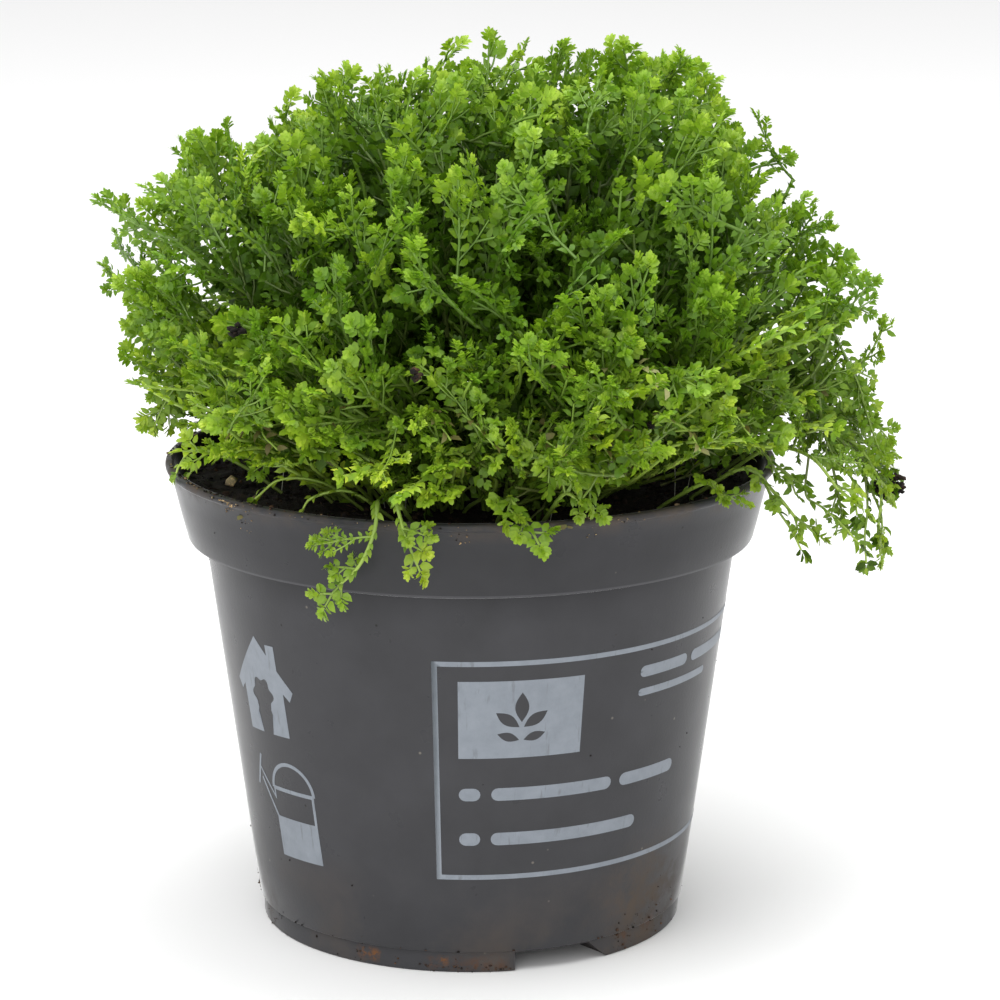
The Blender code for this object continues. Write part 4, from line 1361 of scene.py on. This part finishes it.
def put_soil_body(heap):
    """The solid's soil without its flat top, and a finer top in its place."""
    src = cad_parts["soil"].data
    v = [tuple(c / MM for c in q.co) for q in src.vertices]
    f = []
    src.calc_loop_triangles()
    for tri in src.loop_triangles:
        high = sum(v[k][2] for k in tri.vertices) / 3
        if not (high > 86.5 and abs(tri.normal[2]) > .5):
            f.append(tuple(tri.vertices))
    heap.add(v, f, ONLY, .5, .4)
    n = SOIL_SIDES
    v = [(0, 0, soil_at(0, 0))]
    f = [(0, 1 + k, 1 + (k + 1) % n) for k in range(n)]
    for j in range(1, SOIL_RINGS + 1):
        for k in range(n):
            x, y = plan(SOIL_R * j / SOIL_RINGS, 360 * k / n)
            v.append((x, y, soil_at(x, y)))
            if j < SOIL_RINGS:
                a, b = 1 + (j - 1) * n + k, 1 + (j - 1) * n + (k + 1) % n
                f += [(a, a + n, b + n), (a, b + n, b)]
    heap.add(v, f, ONLY, .5, .4)


def put_fibre(heap, rng):
    """A fibre of the peat that lies on the surface."""
    x, y = plan(FIBRE_R * math.sqrt(rng.random()), rng.uniform(0, 360))
    a, length = rng.uniform(0, 6.28), rng.uniform(2, 5)
    pts = []
    for u in (-.5, -.17, .17, .5):
        at = x + length * u * math.cos(a + u * .8), y + length * u * math.sin(a + u * .8)
        at = at if math.hypot(*at) < FIBRE_LIMIT else (x, y)
        pts.append((*at, soil_at(*at) + .35))
    heap.add(*tube(pts, [.14, .17, .15, .1]), ONLY, .5, rng.uniform(.6, .9))


heap = Heap()
rng = random.Random(31)
put_soil_body(heap)
for _ in range(CRUMBS):
    x, y = plan(CRUMB_R * math.sqrt(rng.random()), rng.uniform(0, 360))
    size = .22 + .75 * rng.random() ** 3
    crumb(heap, (x, y, soil_at(x, y) + size * .25), size, rng)
for x, y, size, vary in CHIPS:
    crumb(heap, (x, y, soil_at(x, y) + size * .4), size, rng, vary)
for _ in range(FIBRES):
    put_fibre(heap, rng)
ob = mesh_piece("peat_soil", heap, (PEAT,))
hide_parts("soil")


def clear_of_channels(az, z):
    """A height at which the foot isn't open, at or above the given one."""
    off = min(abs((az - c + 180) % 360 - 180) for c in CHANNEL_AZ)
    return max(z, CHANNEL_H + .3) if off < CHANNEL_HALF + 1 else z


# Crumbs on the lip and on the outside, how many of each. Then soil caked on the
# foot and patches of pale dirt: azimuth, its spread, height, its spread, count.
LIP_CRUMBS, OUTER_CRUMBS = 150, 40
CAKED = ((-85, 4, 5, 2, 40), (-72, 8, 2.5, 1.5, 26), (-28, 4, 2, 1.2, 12), (-3, 6, 1.1, .8, 44),
         (8, 2.5, .7, .4, 16), (27, 6, 4.2, .2, 9), (44, 3, 2, 1.5, 22), (56, 8, 5, 4, 46))
PALE = ((-49, 3.2, 91.6, .7, 46), (-46, 2.0, 89.0, .8, 14), (-1.5, .8, 90.6, 1.0, 12),
        (27, 2.2, 91.8, .5, 16), (23, 1.0, 89.5, .6, 6), (-27, 14, 92.0, .5, 26))
LIP_Z, LIP_OUT = 91.2, .75      # the lip stands out above this height

heap = Heap()
rng = random.Random(47)
for k in range(LIP_CRUMBS):
    az = rng.gauss(-60, 26) if k % 2 else rng.uniform(0, 360)
    x, y = plan(rng.uniform(58.6, 59.8), az)
    size = .12 + .28 * rng.random() ** 2
    crumb(heap, (x, y, POT_H + size * .15), size, rng, rng.choice((.2, .5, .9, .96)))
for _ in range(OUTER_CRUMBS):
    az, z = rng.uniform(-90, 90), rng.choice((rng.uniform(.6, 4), 4.5, rng.uniform(5, 90)))
    size = .12 + .25 * rng.random() ** 2
    crumb(heap, on_pot(az, clear_of_channels(az, z)), size, rng, rng.choice((.1, .3, .9)))
for az0, spread, z0, deep, count in CAKED:
    for _ in range(count):
        az, z = rng.gauss(az0, spread), abs(rng.gauss(z0, deep))
        size = .09 + .30 * rng.random() ** 4
        z = max(clear_of_channels(az, z), size)
        crumb(heap, on_pot(az, z), size, rng, rng.choice((.3, .88, .92, .95)))
for az0, spread, z0, deep, count in PALE:
    for _ in range(count):
        az, z = rng.gauss(az0, spread), min(rng.gauss(z0, deep), 92.3)
        crumb(heap, on_collar(az, z, LIP_OUT if z > LIP_Z else 0), .10 + .20 * rng.random() ** 2,
              rng, rng.choice((.5, .96, .965, .975)))
ob = mesh_piece("crumbs_on_pot", heap, (PEAT,))

# Bits of dry leaf that stick to the lip: azimuth, height, length and lean.
BITS = ((14.8, 91.6, 3.4, .12), (17.3, 91.9, 1.6, -.3), (-48, 89.0, 2.6, .4))
heap = Heap()
for az, z, length, lean in BITS:
    at = np.array(on_collar(az, z, LIP_OUT + .10 if z > LIP_Z else .15))
    out = unit(np.array((at[0], at[1], 0)))
    go = unit(np.cross(UP, out) + UP * lean)
    put_leaf(heap, OVATE, at, go, out, length, .17, .44, DRY)
ob = mesh_piece("dry_leaf_bits", heap, (LEAF,))

# Floor
bpy.ops.mesh.primitive_plane_add(size=8, location=(0, 0, 0))
floor = bpy.context.object
floor.name = "floor"
m, t, b = new_material("floor")
put(t, b, {"Base Color": (.9, .9, .9), "Roughness": .9})
floor.data.materials.append(m)
